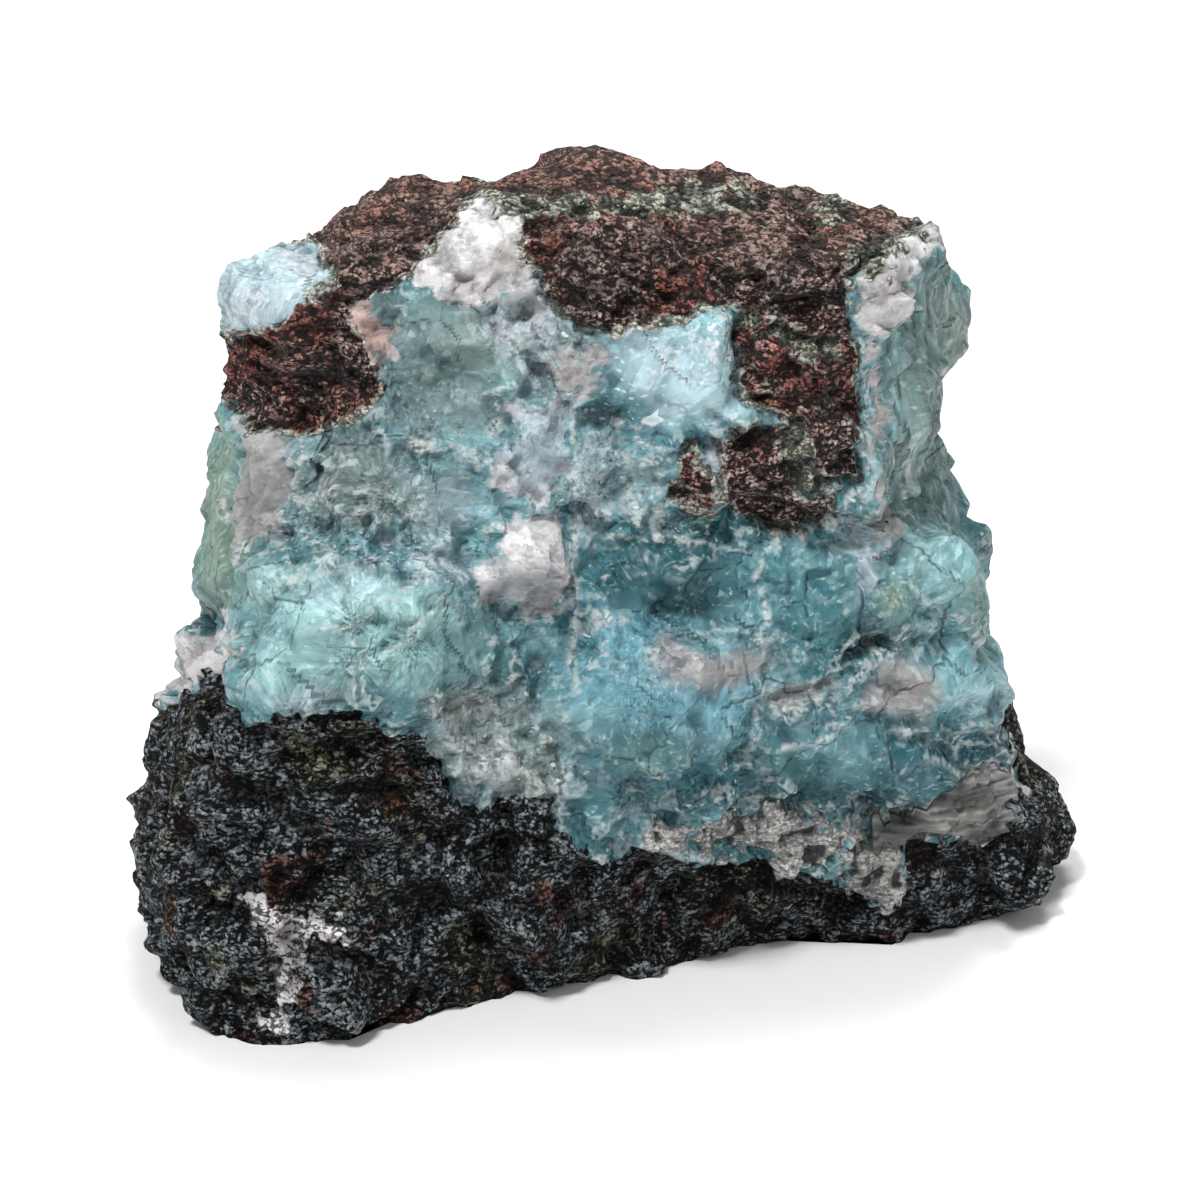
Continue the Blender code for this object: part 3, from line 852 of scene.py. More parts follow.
SKY = "#8bbdc6"
BRIGHT_SKY = "#bcdbe4"
MID_BLUE = "#5c919d"
TEAL = "#3d7079"
DEEP_TEAL = "#22505a"
SEA_GREEN = "#6a9086"
OLIVE = "#7d9078"
GREY_GREEN = "#748884"
MILK = "#c9cdd6"
GREY_VEIL = "#9aa9aa"
CALCITE_WHITE = "#e6e2e2"
CALCITE_PINK = "#a39b9b"
CALCITE_GREY = "#918f96"
BEIGE = "#7b7a75"
CRUST_WHITE = "#c2c0bd"
STAINS = {
    # Painted shadow: the narrow stains at (470, 625), (705, 600) and (905, 640) lie under ridges and stand in
    # for their shadows; the rest are the stone's own deep teal.
    DEEP_TEAL: (
        (655, 580, 62, 30, 0, 0.8), (705, 600, 40, 18, 0, 0.8), (760, 655, 42, 20, 20, 0.6),
        (905, 640, 42, 13, 8, 0.8), (440, 400, 46, 26, 20, 0.2), (600, 408, 32, 15, 0, 0.6),
        (640, 745, 36, 14, 0, 0.6), (470, 625, 34, 22, 0, 0.3), (690, 560, 60, 20, 0, 0.4),
        (800, 735, 32, 16, 30, 0.4), (900, 800, 40, 12, 20, 0.5), (650, 790, 110, 30, 0, 0.65),
        (930, 762, 84, 20, 0, 0.6), (770, 795, 50, 20, 0, 0.6), (600, 745, 40, 26, 0, 0.4),
    ),
    TEAL: (
        (400, 680, 50, 32, 0, 0.5), (440, 330, 46, 26, 0, 0.2), (820, 600, 46, 40, 0, 0.6),
        (480, 380, 60, 30, 0, 0.25), (330, 660, 50, 22, 0, 0.3), (620, 790, 60, 26, 0, 0.5),
        (750, 780, 60, 26, 0, 0.5), (860, 770, 60, 28, 0, 0.5), (680, 690, 60, 26, 0, 0.5),
    ),
    SKY: (
        (630, 664, 34, 24, 0, 0.7), (716, 722, 44, 34, 0, 0.7), (440, 600, 34, 26, 0, 0.5),
        (300, 605, 60, 30, 0, 0.7), (960, 690, 38, 28, 0, 0.8), (945, 565, 44, 24, 0, 0.7),
        (540, 638, 36, 13, 0, 0.7), (470, 446, 44, 20, 0, 0.6), (840, 745, 40, 24, 0, 0.4),
        (260, 690, 30, 26, 0, 0.5), (560, 700, 40, 26, 0, 0.4), (655, 858, 40, 14, 0, 0.5),
        (400, 640, 60, 34, 0, 0.4), (400, 548, 96, 20, 0, 0.5),
    ),
    "#b2dcda": ((350, 600, 110, 32, -8, 0.75), (420, 645, 66, 44, 0, 0.5), (300, 660, 70, 44, 0, 0.5)),
    "#6aa0b2": ((650, 672, 100, 46, 0, 0.75), (716, 722, 50, 40, 0, 0.5)),
    "#838e8c": ((345, 480, 74, 46, 0, 0.8),),
    "#225a68": ((925, 752, 90, 38, 0, 0.75), (650, 765, 110, 44, 0, 0.55)),
    "#8fb8b8": ((930, 590, 60, 50, 0, 0.5),),
    "#9dadac": ((450, 370, 110, 80, 0, 0.5), (490, 740, 84, 54, 0, 0.65)),
    "#a59a8c": (
        (505, 772, 30, 22, 0, 0.65), (545, 770, 20, 26, 0, 0.4), (470, 705, 40, 14, 0, 0.5),
        (480, 740, 30, 24, 0, 0.4),
    ),
    BRIGHT_SKY: (
        (680, 365, 62, 46, -10, 0.95), (700, 405, 46, 22, 0, 0.7), (345, 590, 50, 16, 10, 0.6),
        (880, 555, 30, 20, 0, 0.4), (975, 700, 22, 12, 0, 0.5),
    ),
    SEA_GREEN: (
        (250, 570, 26, 36, 0, 0.6), (650, 750, 40, 20, 0, 0.4), (985, 600, 22, 60, 0, 0.6),
        (470, 350, 60, 50, 0, 0.4), (400, 650, 30, 30, 0, 0.3),
    ),
    OLIVE: ((952, 350, 12, 70, 0, 0.9), (889, 598, 22, 16, 0, 0.7), (215, 500, 26, 110, 0, 0.75)),
    GREY_GREEN: (
        (922, 400, 44, 160, 0, 0.85), (905, 470, 26, 60, 0, 0.5), (966, 300, 26, 60, 0, 0.85),
        (872, 288, 12, 44, 0, 0.8),
    ),
    GREY_VEIL: (
        (400, 520, 70, 22, 0, 0.3), (475, 340, 56, 30, 0, 0.5), (620, 485, 46, 36, 0, 0.5),
        (500, 725, 56, 40, 0, 0.6), (540, 780, 50, 30, 0, 0.4), (800, 690, 40, 14, 0, 0.6),
        (430, 490, 50, 20, 0, 0.5), (565, 325, 56, 34, 20, 0.7),
    ),
    CALCITE_PINK: (
        (712, 664, 56, 18, 8, 0.95), (668, 655, 24, 14, 0, 0.8), (795, 694, 40, 14, 10, 0.9),
        (898, 690, 34, 30, 20, 0.95), (875, 706, 26, 12, 0, 0.8),
    ),
    "#bdd2da": ((285, 285, 70, 50, 0, 0.9), (450, 510, 50, 28, 0, 0.3)),
    MILK: (
        (520, 330, 36, 26, 0, 0.6), (560, 370, 36, 24, 0, 0.6), (590, 480, 16, 60, 0, 0.4),
        (440, 560, 40, 20, 0, 0.4), (250, 305, 26, 16, 0, 0.7), (300, 265, 24, 10, -20, 0.6),
        (300, 700, 40, 12, 0, 0.4), (480, 770, 30, 26, 0, 0.5), (855, 560, 16, 40, 0, 0.5),
        (712, 460, 9, 22, 10, 0.8),
    ),
}
CALCITE_STAINS = {
    CALCITE_PINK: ((885, 292, 22, 36, 0, 0.6), (520, 555, 40, 16, 0, 0.4), (195, 668, 40, 24, 0, 0.5)),
    CALCITE_GREY: (
        (528, 588, 50, 20, 0, 0.9), (545, 320, 50, 40, 0, 0.8), (530, 450, 46, 46, 0, 0.5),
        (880, 540, 16, 40, 0, 0.5), (290, 965, 26, 34, 0, 0.8),
    ),
    "#b9cfdc": ((540, 440, 40, 50, 0, 0.7),),
    "#f2efee": ((500, 235, 44, 40, 0, 0.8), (520, 540, 30, 24, 0, 0.5)),
    # Partly painted shade: the first ellipse below, on the calcite column at (262, 490), is darkened for its
    # shade as well as for its own grey.
    "#8f8b89": ((262, 490, 30, 70, 0, 0.95), (880, 450, 26, 110, 0, 0.8), (585, 355, 34, 24, 0, 0.5)),
    "#b8958a": ((372, 335, 26, 46, 0, 0.9),),
    BEIGE: ((950, 810, 90, 50, 0, 0.9), (870, 865, 36, 36, 0, 0.5)),
    # Painted shadow: near-black under the overhang of the fibrous calcite, at (892, 834) and (960, 836).
    "#3c4040": ((892, 834, 34, 16, 0, 0.8), (960, 836, 60, 8, 0, 0.6)),
}


# %% Colours of the minerals, at each point
TONE_SIZE_MM = 11.0
TONE_STOPS = (0.0, 0.3, 0.6, 1.0)
TONE_COLOURS = (DEEP_TEAL, TEAL, MID_BLUE, SKY)
CLOUD_SIZE_MM = 4.0
PATCH_SIZES_MM = (9.0, 6.5, 4.0)
BELL_FALL = 0.9


def stained(colour, place, stains):
    """Colour pulled towards each stain: its strength falls off as a bell over an ellipse."""
    for code, ellipses in stains.items():
        for *ellipse, strength in ellipses:
            weight = strength * np.exp(-BELL_FALL * turned_ellipse(place, *ellipse) ** 2)
            colour = colour + weight[..., None] * (from_hex(code) - colour)
    return colour


def pectolite_colour(points, place, spray_number):
    """Slow noise and each spray's number mix deep teal, teal, mid blue and sky, under the stains."""
    slow = layered_noise(points, TONE_SIZE_MM, 501, 4, 0.6)
    tone = np.clip(0.52 + 0.42 * slow + 0.25 * (spray_number - 0.5), 0.0, 1.0)
    tones = np.array([from_hex(code) for code in TONE_COLOURS])
    colour = np.stack([np.interp(tone, TONE_STOPS, tones[:, c]) for c in range(3)], -1)
    return stained(colour, place, STAINS)


def calcite_colour(points, place, crust):
    """White with grey clouds, the crust in its own off-white, and the stains over both."""
    clouds = np.clip(0.5 + 0.6 * layered_noise(points, CLOUD_SIZE_MM, 531, 3), 0.0, 1.0)
    palest = from_hex(CALCITE_WHITE)
    colour = palest + 0.35 * clouds[..., None] * (from_hex(CALCITE_GREY) - palest)
    colour = colour + crust[..., None] * (from_hex(CRUST_WHITE) - colour)
    return stained(colour, place, CALCITE_STAINS)


patches = np.stack([layered_noise(form, size, 541, 5, 0.65) for size in PATCH_SIZES_MM], -1)
patches[..., 0] -= 0.9 * share(deepest(picture, RED_PATCHES), 1.0)
blue = pectolite_colour(form, ragged, spray_tone)
white = calcite_colour(form, ragged, in_crust)
print("mean pectolite colour, linear:", blue.reshape(-1, 3).mean(0).round(3))

# %% [markdown]
# ## The piece
# The grid becomes a closed mesh: quads between the rings, a fan under the stone and a fan on top.
# What the material needs to know of each point goes with the mesh as named attributes.

# %% Mesh
def closed_mesh(name, rings, lowest, highest):
    """Quads between neighbouring rings of points, and a fan of triangles to a point at each end."""
    rows, columns = rings.shape[:2]
    points = np.concatenate([rings.reshape(-1, 3), [lowest], [highest]]) * MM
    row, column = np.meshgrid(np.arange(rows - 1), np.arange(columns), indexing="ij")
    here = row * columns + column
    beside = row * columns + (column + 1) % columns
    quads = np.stack([here, beside, beside + columns, here + columns], -1).reshape(-1, 4)
    edge = np.arange(columns)
    following = (edge + 1) % columns
    top_row = (rows - 1) * columns
    fans = np.concatenate(
        [
            np.stack([following, edge, np.full(columns, rows * columns)], -1),
            np.stack([top_row + edge, top_row + following, np.full(columns, rows * columns + 1)], -1),
        ]
    )
    mesh = bpy.data.meshes.new(name)
    mesh.vertices.add(len(points))
    mesh.vertices.foreach_set("co", points.ravel())
    corners = np.concatenate([quads.ravel(), fans.ravel()])
    sizes = np.concatenate([np.full(len(quads), 4), np.full(len(fans), 3)])
    mesh.loops.add(len(corners))
    mesh.loops.foreach_set("vertex_index", corners)
    mesh.polygons.add(len(sizes))
    mesh.polygons.foreach_set("loop_start", np.concatenate([[0], np.cumsum(sizes)[:-1]]))
    mesh.update(calc_edges=True)
    mesh.validate()
    return mesh


FIELDS = {"FLOAT": "value", "FLOAT_VECTOR": "vector", "FLOAT_COLOR": "color"}


def keep(mesh, name, kind, values):
    """Stores one value for each point, with the values of the two end points as the rings' means."""
    flat = values.reshape(-1, *values.shape[2:])
    flat = np.concatenate([flat, [values[0].mean(0)], [values[-1].mean(0)]])
    if kind == "FLOAT_COLOR":
        flat = np.concatenate([flat, np.ones((len(flat), 1))], -1)
    mesh.attributes.new(name, kind, "POINT").data.foreach_set(FIELDS[kind], flat.ravel())


# %% The stone
WOBBLE_MM, WOBBLE_SIZE_MM = 0.22, 1.3
FRAY_SIZE_MM = 1.2
wobble = np.stack([layered_noise(fine, WOBBLE_SIZE_MM, seed, 2) for seed in (601, 611, 621)], -1)
wobbled_place = fine + WOBBLE_MM * wobble
summit = moved_out(np.array(SUMMIT, float)[None], np.array([[0.0, 0.0, 1.0]]), np.zeros(1))[0]
summit[:2] -= MIDDLE
rock_mesh = closed_mesh("larimar_rock", fine, fine[0].mean(0), summit)
kept_numbers = {
    "crest": crest,
    "standing_out": standing_out,
    # Painted shadow: how deep each pit sinks, for the near-black laid into it.
    "pit_shadow": np.clip(-knobs / 2.0, 0.0, 1.0) ** 1.5,
    "shattered": shattered,
    "streaky": on_side_face,
    "frayed": 0.5 + 0.3 * layered_noise(fine, FRAY_SIZE_MM, 631, 3),
    # Painted light: how far each point faces up, for the paler colour laid on the cap's upward faces.
    "top_light": np.clip(3.0 * outward[..., 2] - 1.5, 0.0, 1.0),
    "flaky": flaky,
    "spray_border": np.clip(spray_border / 0.12 - 0.15, 0.0, 1.0),
}
kept_vectors = {
    "patches": patches,
    "streak_place": streak_place * MM,
    "wobbled": wobbled_place * MM,
    "spray_offset": spray_offset,
}
for name, depth in depths.items():
    keep(rock_mesh, name + "_depth", "FLOAT", depth)
for name, values in kept_numbers.items():
    keep(rock_mesh, name, "FLOAT", values)
for name, values in kept_vectors.items():
    keep(rock_mesh, name, "FLOAT_VECTOR", values)
for name, values in {"blue": blue, "white": white}.items():
    keep(rock_mesh, name, "FLOAT_COLOR", values)
rock_mesh.shade_smooth()
rock = bpy.data.objects.new("larimar_rock", rock_mesh)
bpy.context.scene.collection.objects.link(rock)
print("triangles:", sum(len(p.vertices) - 2 for p in rock_mesh.polygons))

# %% [markdown]
# ## The material
# Minerals that touch need one material, because their border is finer than the mesh. Each mineral
# has a function that gives its colour, roughness and fine height, and the shares mix them.
# One small function adds every node, with its settings and its links.

# %% Adding a node
stone_material = bpy.data.materials.new("pectolite_calcite_and_basalt")
stone_material.use_nodes = True
tree = stone_material.node_tree


def add(kind, links=None, stops=None, **settings):
    """Adds a node: its properties, its sockets' values or sources, and its ramp's stops."""
    made = tree.nodes.new(kind)
    for name, value in settings.items():
        setattr(made, name, value)
    for socket, value in (links or {}).items():
        if isinstance(value, bpy.types.NodeSocket):
            tree.links.new(value, made.inputs[socket])
        else:
            made.inputs[socket].default_value = value
    if stops:
        elements = made.color_ramp.elements
        while len(elements) < len(stops):
            elements.new(0.5)
        for element, (position, code) in zip(elements, stops):
            element.position = position
            element.color = (*from_hex(code), 1.0)
    return made


def per_metre(size_mm):
    """A texture's scale for features of a real size in mm, since Object coordinates are in metres."""
    return 1.0 / (size_mm * MM)


def worked(operation, first, second=0.0, third=0.0):
    """Output of a sum, product or other operation on numbers."""
    return add("ShaderNodeMath", {0: first, 1: second, 2: third}, operation=operation).outputs[0]


def ranged(source, low, high, bottom=0.0, top=1.0):
    """A value carried from the range low to high onto bottom to top, and held at its ends."""
    settings = {"Value": source, "From Min": low, "From Max": high, "To Min": bottom, "To Max": top}
    return add("ShaderNodeMapRange", settings).outputs[0]


def painted(below, code, amount):
    """A colour with some of a named colour mixed over it."""
    links = {0: amount, 6: below, 7: (*from_hex(code), 1.0)}
    return add("ShaderNodeMix", links, data_type="RGBA").outputs[2]


def kept(name, output="Fac"):
    """One of the values kept on the mesh."""
    return add("ShaderNodeAttribute", attribute_name=name).outputs[output]


def scaled(source, factor):
    """A colour made darker or brighter by a number, or a vector made shorter or longer."""
    return add("ShaderNodeVectorMath", {0: source, "Scale": factor}, operation="SCALE").outputs[0]


where = add("ShaderNodeTexCoord").outputs["Object"]


def noise(size_mm, detail, place=where):
    """Noise with lumps of a real size and so many finer layers on them."""
    links = {"Vector": place, "Scale": per_metre(size_mm), "Detail": detail, "Roughness": 0.65}
    return add("ShaderNodeTexNoise", links).outputs["Fac"]


# %% [markdown]
# ## Flat chips
# Broken rock glitters because it is made of small flat faces, each turned its own way. A Voronoi
# texture gives each cell a middle and a random colour. Read as a direction, that colour leans the
# cell's plane, so the height is how far a point is from the middle along the lean.

# %% Flat chips
MIDDLE_COLOUR = (0.5, 0.5, 0.5)
wobbled = kept("wobbled", "Vector")


def chips(place, size, lean_height):
    """Cells of a size: two random numbers, the leaning plane's height, and the distance to the middle."""
    cells = add("ShaderNodeTexVoronoi", {"Vector": place, "Scale": 1.0 / size})
    links = {0: place, 1: cells.outputs["Position"]}
    away = add("ShaderNodeVectorMath", links, operation="SUBTRACT").outputs[0]
    links = {0: cells.outputs["Color"], 1: MIDDLE_COLOUR}
    lean = add("ShaderNodeVectorMath", links, operation="SUBTRACT").outputs[0]
    height = add("ShaderNodeVectorMath", {0: away, 1: lean}, operation="DOT_PRODUCT").outputs["Value"]
    numbers = add("ShaderNodeSeparateColor", {0: cells.outputs["Color"]})
    slope = worked("MULTIPLY", height, 2.0 * lean_height / size)
    return numbers.outputs[0], numbers.outputs[1], slope, cells.outputs["Distance"]


# %% [markdown]
# ## Basalt
# Basalt is a dense lava of tiny dark crystals: pyroxene nearly black, feldspar grey, altered
# olivine green. The eye sees dull, fine rubble. Noise of about the crystals' size, shifted a
# little by each chip and by slow patches, goes through a ramp of the minerals' colours. One grain
# serves the foot, the cap and the rinds, which differ only in their ramps, as they are one rock.

# %% Basalt, in the foot and in the red cap
CRYSTAL_MM = 0.36
FRAGMENT_MM = 0.6
FLATNESS = (1.0, 1.0, 1.5)
RUBBLE_ROUGHNESS = 0.8
STOP_PLACES = (0.37, 0.45, 0.5, 0.56, 0.64, 0.74)

crystals = noise(CRYSTAL_MM, 2.0)
weathering, cloudiness, damp = add("ShaderNodeSeparateXYZ", {0: kept("patches", "Vector")}).outputs[:3]
flattened = add("ShaderNodeVectorMath", {0: wobbled, 1: FLATNESS}, operation="MULTIPLY").outputs[0]
chip_number, chip_tint, chip_height, chip_edge = chips(flattened, FRAGMENT_MM * MM, 0.5)
# The grain is the colour's place in the ramp, and the rubble is the fine height.
grain = worked("MULTIPLY_ADD", chip_number, 0.45, worked("MULTIPLY", crystals, 0.75))
grain = worked("MULTIPLY_ADD", chip_edge, -0.24, grain)
grain = worked("MULTIPLY_ADD", damp, 0.07, grain)
rubble = worked("ADD", crystals, worked("MULTIPLY_ADD", chip_edge, -0.5, chip_height))
stands_out = kept("standing_out")
# Dirt and painted shade: the rock's colour is scaled from 0.28 in its hollows to 1.18 where the relief stands
# out.
crevice_dirt_and_shade = ranged(stands_out, -1.6, 0.6, 0.28, 1.18)


def grain_colour(codes):
    """The grain through a ramp, from the darkest crystals to the palest."""
    return add("ShaderNodeValToRGB", {0: grain}, stops=tuple(zip(STOP_PLACES, codes))).outputs[0]


def tinted(colour, code, amount):
    """A colour seen through a tint, so its light and dark stay."""
    links = {0: amount, 6: colour, 7: (*from_hex(code), 1.0)}
    return add("ShaderNodeMix", links, data_type="RGBA", blend_type="MULTIPLY").outputs[2]


def basalt_finish():
    """Dull dark rubble: black gaps, grey flakes, a few pale crystals, and tints of olive and rust."""
    colour = grain_colour(("#0a0a0c", "#1c1f22", "#393e43", "#585e63", "#72787d", "#9ca2a5"))
    colour = tinted(colour, "#dcd8b0", ranged(weathering, 0.2, 0.8))
    colour = tinted(colour, "#e0a090", ranged(cloudiness, -0.6, -0.9))
    # Dirt and painted shade: the rubble is darker in its hollows and a little brighter on its high points.
    return scaled(colour, crevice_dirt_and_shade), RUBBLE_ROUGHNESS, rubble


def cap_finish():
    """The same rubble weathered: black to liver brown and pink-grey, rust tints, and painted light on its
    upward faces.
    """
    colour = grain_colour(("#120b0a", "#301e1b", "#5f443e", "#8b6c65", "#a99087", "#d5c5bb"))
    colour = tinted(colour, "#f6ac9c", ranged(weathering, -0.1, 0.6))
    colour = tinted(colour, "#b4b8bc", ranged(damp, 0.0, 0.6))
    # Painted light: a paler brown laid on the faces that look up, as if lit from above.
    lit_top = worked("MULTIPLY", kept("top_light"), ranged(grain, 0.45, 0.6, 0.1, 0.6))
    colour = painted(colour, "#a58a7e", lit_top)
    # Dirt and painted shade: the rubble is darker in its hollows and a little brighter on its high points.
    return scaled(colour, crevice_dirt_and_shade), RUBBLE_ROUGHNESS, rubble


def rind_finish(codes):
    """Clay minerals along the cap's borders, in the colours given."""
    # Dirt and painted shade: the rind is darker in its hollows and a little brighter on its high points.
    return scaled(grain_colour(codes), crevice_dirt_and_shade), RUBBLE_ROUGHNESS, rubble


# %% [markdown]
# ## Pectolite
# Larimar is pectolite coloured by copper: packed silky needles, a little translucent, with a waxy
# shine on fresh breaks. It splits along its needles into flakes that fan out from a centre. Real
# needles would take millions of strands, and at this distance only their flakes and their sheen
# show. So chips are used, with their cells read mostly at the direction from the spray's centre,
# which draws them out into flakes that fan.

# %% Flakes, lumps and needles
NEEDLE_FINENESS = 16.0
FLAKE_FAN = 4.0
FLAKE_LENGTH_MM = 8.0
FLAKE_WIDTH = 0.6
LUMP_MM = 2.6
MOTTLE_MM = 1.2
STREAK_MM = 1.3
needle_offset = kept("spray_offset", "Vector")
needle_way = add("ShaderNodeVectorMath", {0: needle_offset}, operation="NORMALIZE").outputs[0]


def fanned_place(fan, length_mm):
    """Places for flakes: the way from the spray's centre times the fan, plus the offset over their length."""
    links = {0: needle_way, 1: (fan,) * 3, 2: scaled(needle_offset, 1.0 / length_mm)}
    return add("ShaderNodeVectorMath", links, operation="MULTIPLY_ADD").outputs[0]


flake_place = fanned_place(FLAKE_FAN, FLAKE_LENGTH_MM)
flake_number, flake_tint, flake_height, _ = chips(flake_place, FLAKE_WIDTH, 0.4)
lump_number, lump_tint, lump_height, _ = chips(wobbled, LUMP_MM * MM, 0.7)
needles = add(
    "ShaderNodeTexNoise", {"Vector": needle_way, "Scale": NEEDLE_FINENESS, "Detail": 1.0, "Roughness": 0.65}
).outputs["Fac"]
mottle = noise(MOTTLE_MM, 1.0, wobbled)
streaks = noise(STREAK_MM, 1.0, kept("streak_place", "Vector"))
crushing = kept("shattered")
streaky = kept("streaky")
flaking = kept("flaky")


def shifted(number, strength):
    """A random number from 0 to 1, as a shift either way from nothing."""
    return worked("MULTIPLY", worked("SUBTRACT", number, 0.5), strength)


def pectolite_tone():
    """Light and dark of the blue: flakes, needles, mottle, streaks, and facets where it is crushed."""
    tone = ranged(flake_height, -0.13, 0.13, 0.88, 1.12)
    tone = worked("MULTIPLY", tone, ranged(needles, 0.3, 0.7, 0.9, 1.1))
    tone = worked("MULTIPLY", tone, ranged(mottle, 0.3, 0.7, 0.92, 1.08))
    tone = worked("ADD", tone, shifted(flake_number, 0.12))
    tone = worked("ADD", tone, shifted(lump_number, worked("MULTIPLY", crushing, 0.6)))
    tone = worked("ADD", tone, shifted(chip_number, worked("MULTIPLY", crushing, 0.2)))
    return worked("ADD", tone, shifted(streaks, worked("MULTIPLY", streaky, 1.6)))


def whitened(colour):
    """The blue with its whites: milky lumps, crushed edges and veins, chips, slivers and flakes."""
    lump_pick = worked("MULTIPLY_ADD", cloudiness, 0.35, lump_tint)
    milky = worked("MULTIPLY", ranged(lump_pick, 0.55, 0.95), ranged(mottle, 0.35, 0.6))
    colour = painted(colour, "#b2babb", worked("MULTIPLY", milky, ranged(crushing, 0.2, 0.9, 0.0, 0.8)))
    loose = worked("MULTIPLY", ranged(stands_out, 0.7, 2.2), ranged(crushing, 0.1, 0.7, 0.15, 0.7))
    loose = worked("MULTIPLY", loose, ranged(mottle, 0.45, 0.58))
    veins = worked("MULTIPLY", kept("crest"), ranged(mottle, 0.36, 0.5))
    colour = painted(colour, "#d3dad9", worked("MULTIPLY", worked("MAXIMUM", loose, veins), 0.85))
    chip_pick = worked("MULTIPLY_ADD", crushing, 0.08, worked("MULTIPLY_ADD", flaking, 0.2, chip_tint))
    colour = painted(colour, "#dbe4e6", ranged(chip_pick, 1.05, 1.07, 0.0, 0.8))
    sliver = worked("MULTIPLY", ranged(flake_height, 0.11, 0.14), ranged(mottle, 0.42, 0.52))
    sliver = worked("MULTIPLY", sliver, ranged(crushing, 0.5, 0.0, 0.1, 0.25))
    colour = painted(colour, "#dceceb", sliver)
    flake_pick = worked("MULTIPLY_ADD", flaking, 0.29, flake_tint)
    return painted(colour, "#e6f1f5", ranged(flake_pick, 1.04, 1.07, 0.0, 0.85))


def pectolite_finish():
    """Silky blue flakes, greener here and there, with painted shade in the hollows and whites over them."""
    colour = painted(kept("blue", "Color"), "#5d8a7f", ranged(flake_tint, 0.5, 1.0, 0.0, 0.25))
    colour = scaled(colour, pectolite_tone())
    # Painted shade: deep teal laid over the hollows, where the relief sinks below its surroundings.
    colour = painted(colour, "#2c525b", ranged(stands_out, -0.8, -2.8, 0.0, 0.35))
    height = worked("MULTIPLY", flake_height, kept("spray_border"))
    height = worked("MULTIPLY_ADD", lump_height, ranged(crushing, 0.2, 0.9, 0.0, 0.8), height)
    height = worked("MULTIPLY_ADD", chip_height, worked("MULTIPLY", crushing, 0.6), height)
    height = worked("MULTIPLY_ADD", streaks, streaky, height)
    return whitened(colour), ranged(mottle, 0.3, 0.7, 0.32, 0.55), height


# %% [markdown]
# ## Calcite
# Calcite fills the gaps between the sprays. It is milky white to pink, cleaves into flat faces,
# and has a glassy shine. The crust on the foot's border is the same mineral, dull and scabby. The
# lumps and chips made for the pectolite serve here again, because both minerals broke together.

# %% Calcite
CALCITE_ROUGHNESS = 0.45
CRUST_ROUGHNESS = 0.7
FIBRE_ROUGHNESS = 0.6
white_kept = kept("white", "Color")


def calcite_finish():
    """Milky faces of slightly different brightness, with painted shade in their hollows and brown stains along
    some of them.
    """
    tone = ranged(lump_number, 0.0, 1.0, 0.82, 1.08)
    tone = worked("MULTIPLY", tone, ranged(chip_number, 0.0, 1.0, 0.94, 1.05))
    # Painted shade and light: the white darkens in the hollows and brightens a little where it stands out.
    tone = worked("MULTIPLY", tone, ranged(stands_out, -1.6, 1.2, 0.8, 1.12))
    brown = ranged(worked("MULTIPLY_ADD", mottle, 1.5, weathering), 1.1, 1.6, 0.0, 0.35)
    colour = painted(scaled(white_kept, tone), "#85756b", brown)
    return colour, CALCITE_ROUGHNESS, worked("MULTIPLY_ADD", chip_height, 0.3, lump_height)


def crust_finish():
    """The crust: off-white grains, darkened as painted shade where they sink and in the gaps between them."""
    # Painted shade: the grains darken where the relief sinks, and the gaps between them go near-black.
    tone = worked("MULTIPLY", ranged(grain, 0.35, 0.7, 0.5, 1.5), ranged(stands_out, -1.0, 1.2, 0.5, 1.2))
    gaps = ranged(stands_out, -0.3, -1.6, 0.0, 0.8)
    return painted(scaled(white_kept, tone), "#33383b", gaps), CRUST_ROUGHNESS, rubble


def fibrous_finish():
    """Calcite in fibres: beige-grey strands, with painted shade in the gaps between them."""
    colour = scaled(white_kept, ranged(streaks, 0.36, 0.64, 0.3, 1.4))
    # Painted shade: near-black in the gaps, where the relief sinks.
    colour = painted(colour, "#2c3233", ranged(stands_out, 0.0, -1.6, 0.0, 0.5))
    return colour, FIBRE_ROUGHNESS, worked("MULTIPLY", streaks, 3.0)


# %% [markdown]
# ## Mixing the minerals
# From the deepest layer up: pectolite, calcite in it, the cap with its cream and green rinds, the
# basalt foot with specks of calcite, and the crust and fibres along the foot's border. Each later
# one covers the earlier ones.

# %% Mixing
fraying = kept("frayed")


def mineral_share(name, softness, raggedness=1.2):
    """Share of a mineral: its kept depth, frayed by so many mm, through a ramp as soft as so many mm."""
    ragged_depth = worked("MULTIPLY_ADD", fraying, 2.0 * raggedness, kept(name + "_depth"))
    return ranged(ragged_depth, raggedness - softness, raggedness + softness)


def laid_over(below, above, amount):
    """Colour, roughness and height of one finish laid over another by a share."""
    colour = add("ShaderNodeMix", {0: amount, 6: below[0], 7: above[0]}, data_type="RGBA").outputs[2]
    values = [
        add("ShaderNodeMix", {0: amount, 2: first, 3: second}, data_type="FLOAT").outputs[0]
        for first, second in zip(below[1:], above[1:])
    ]
    return (colour, *values)


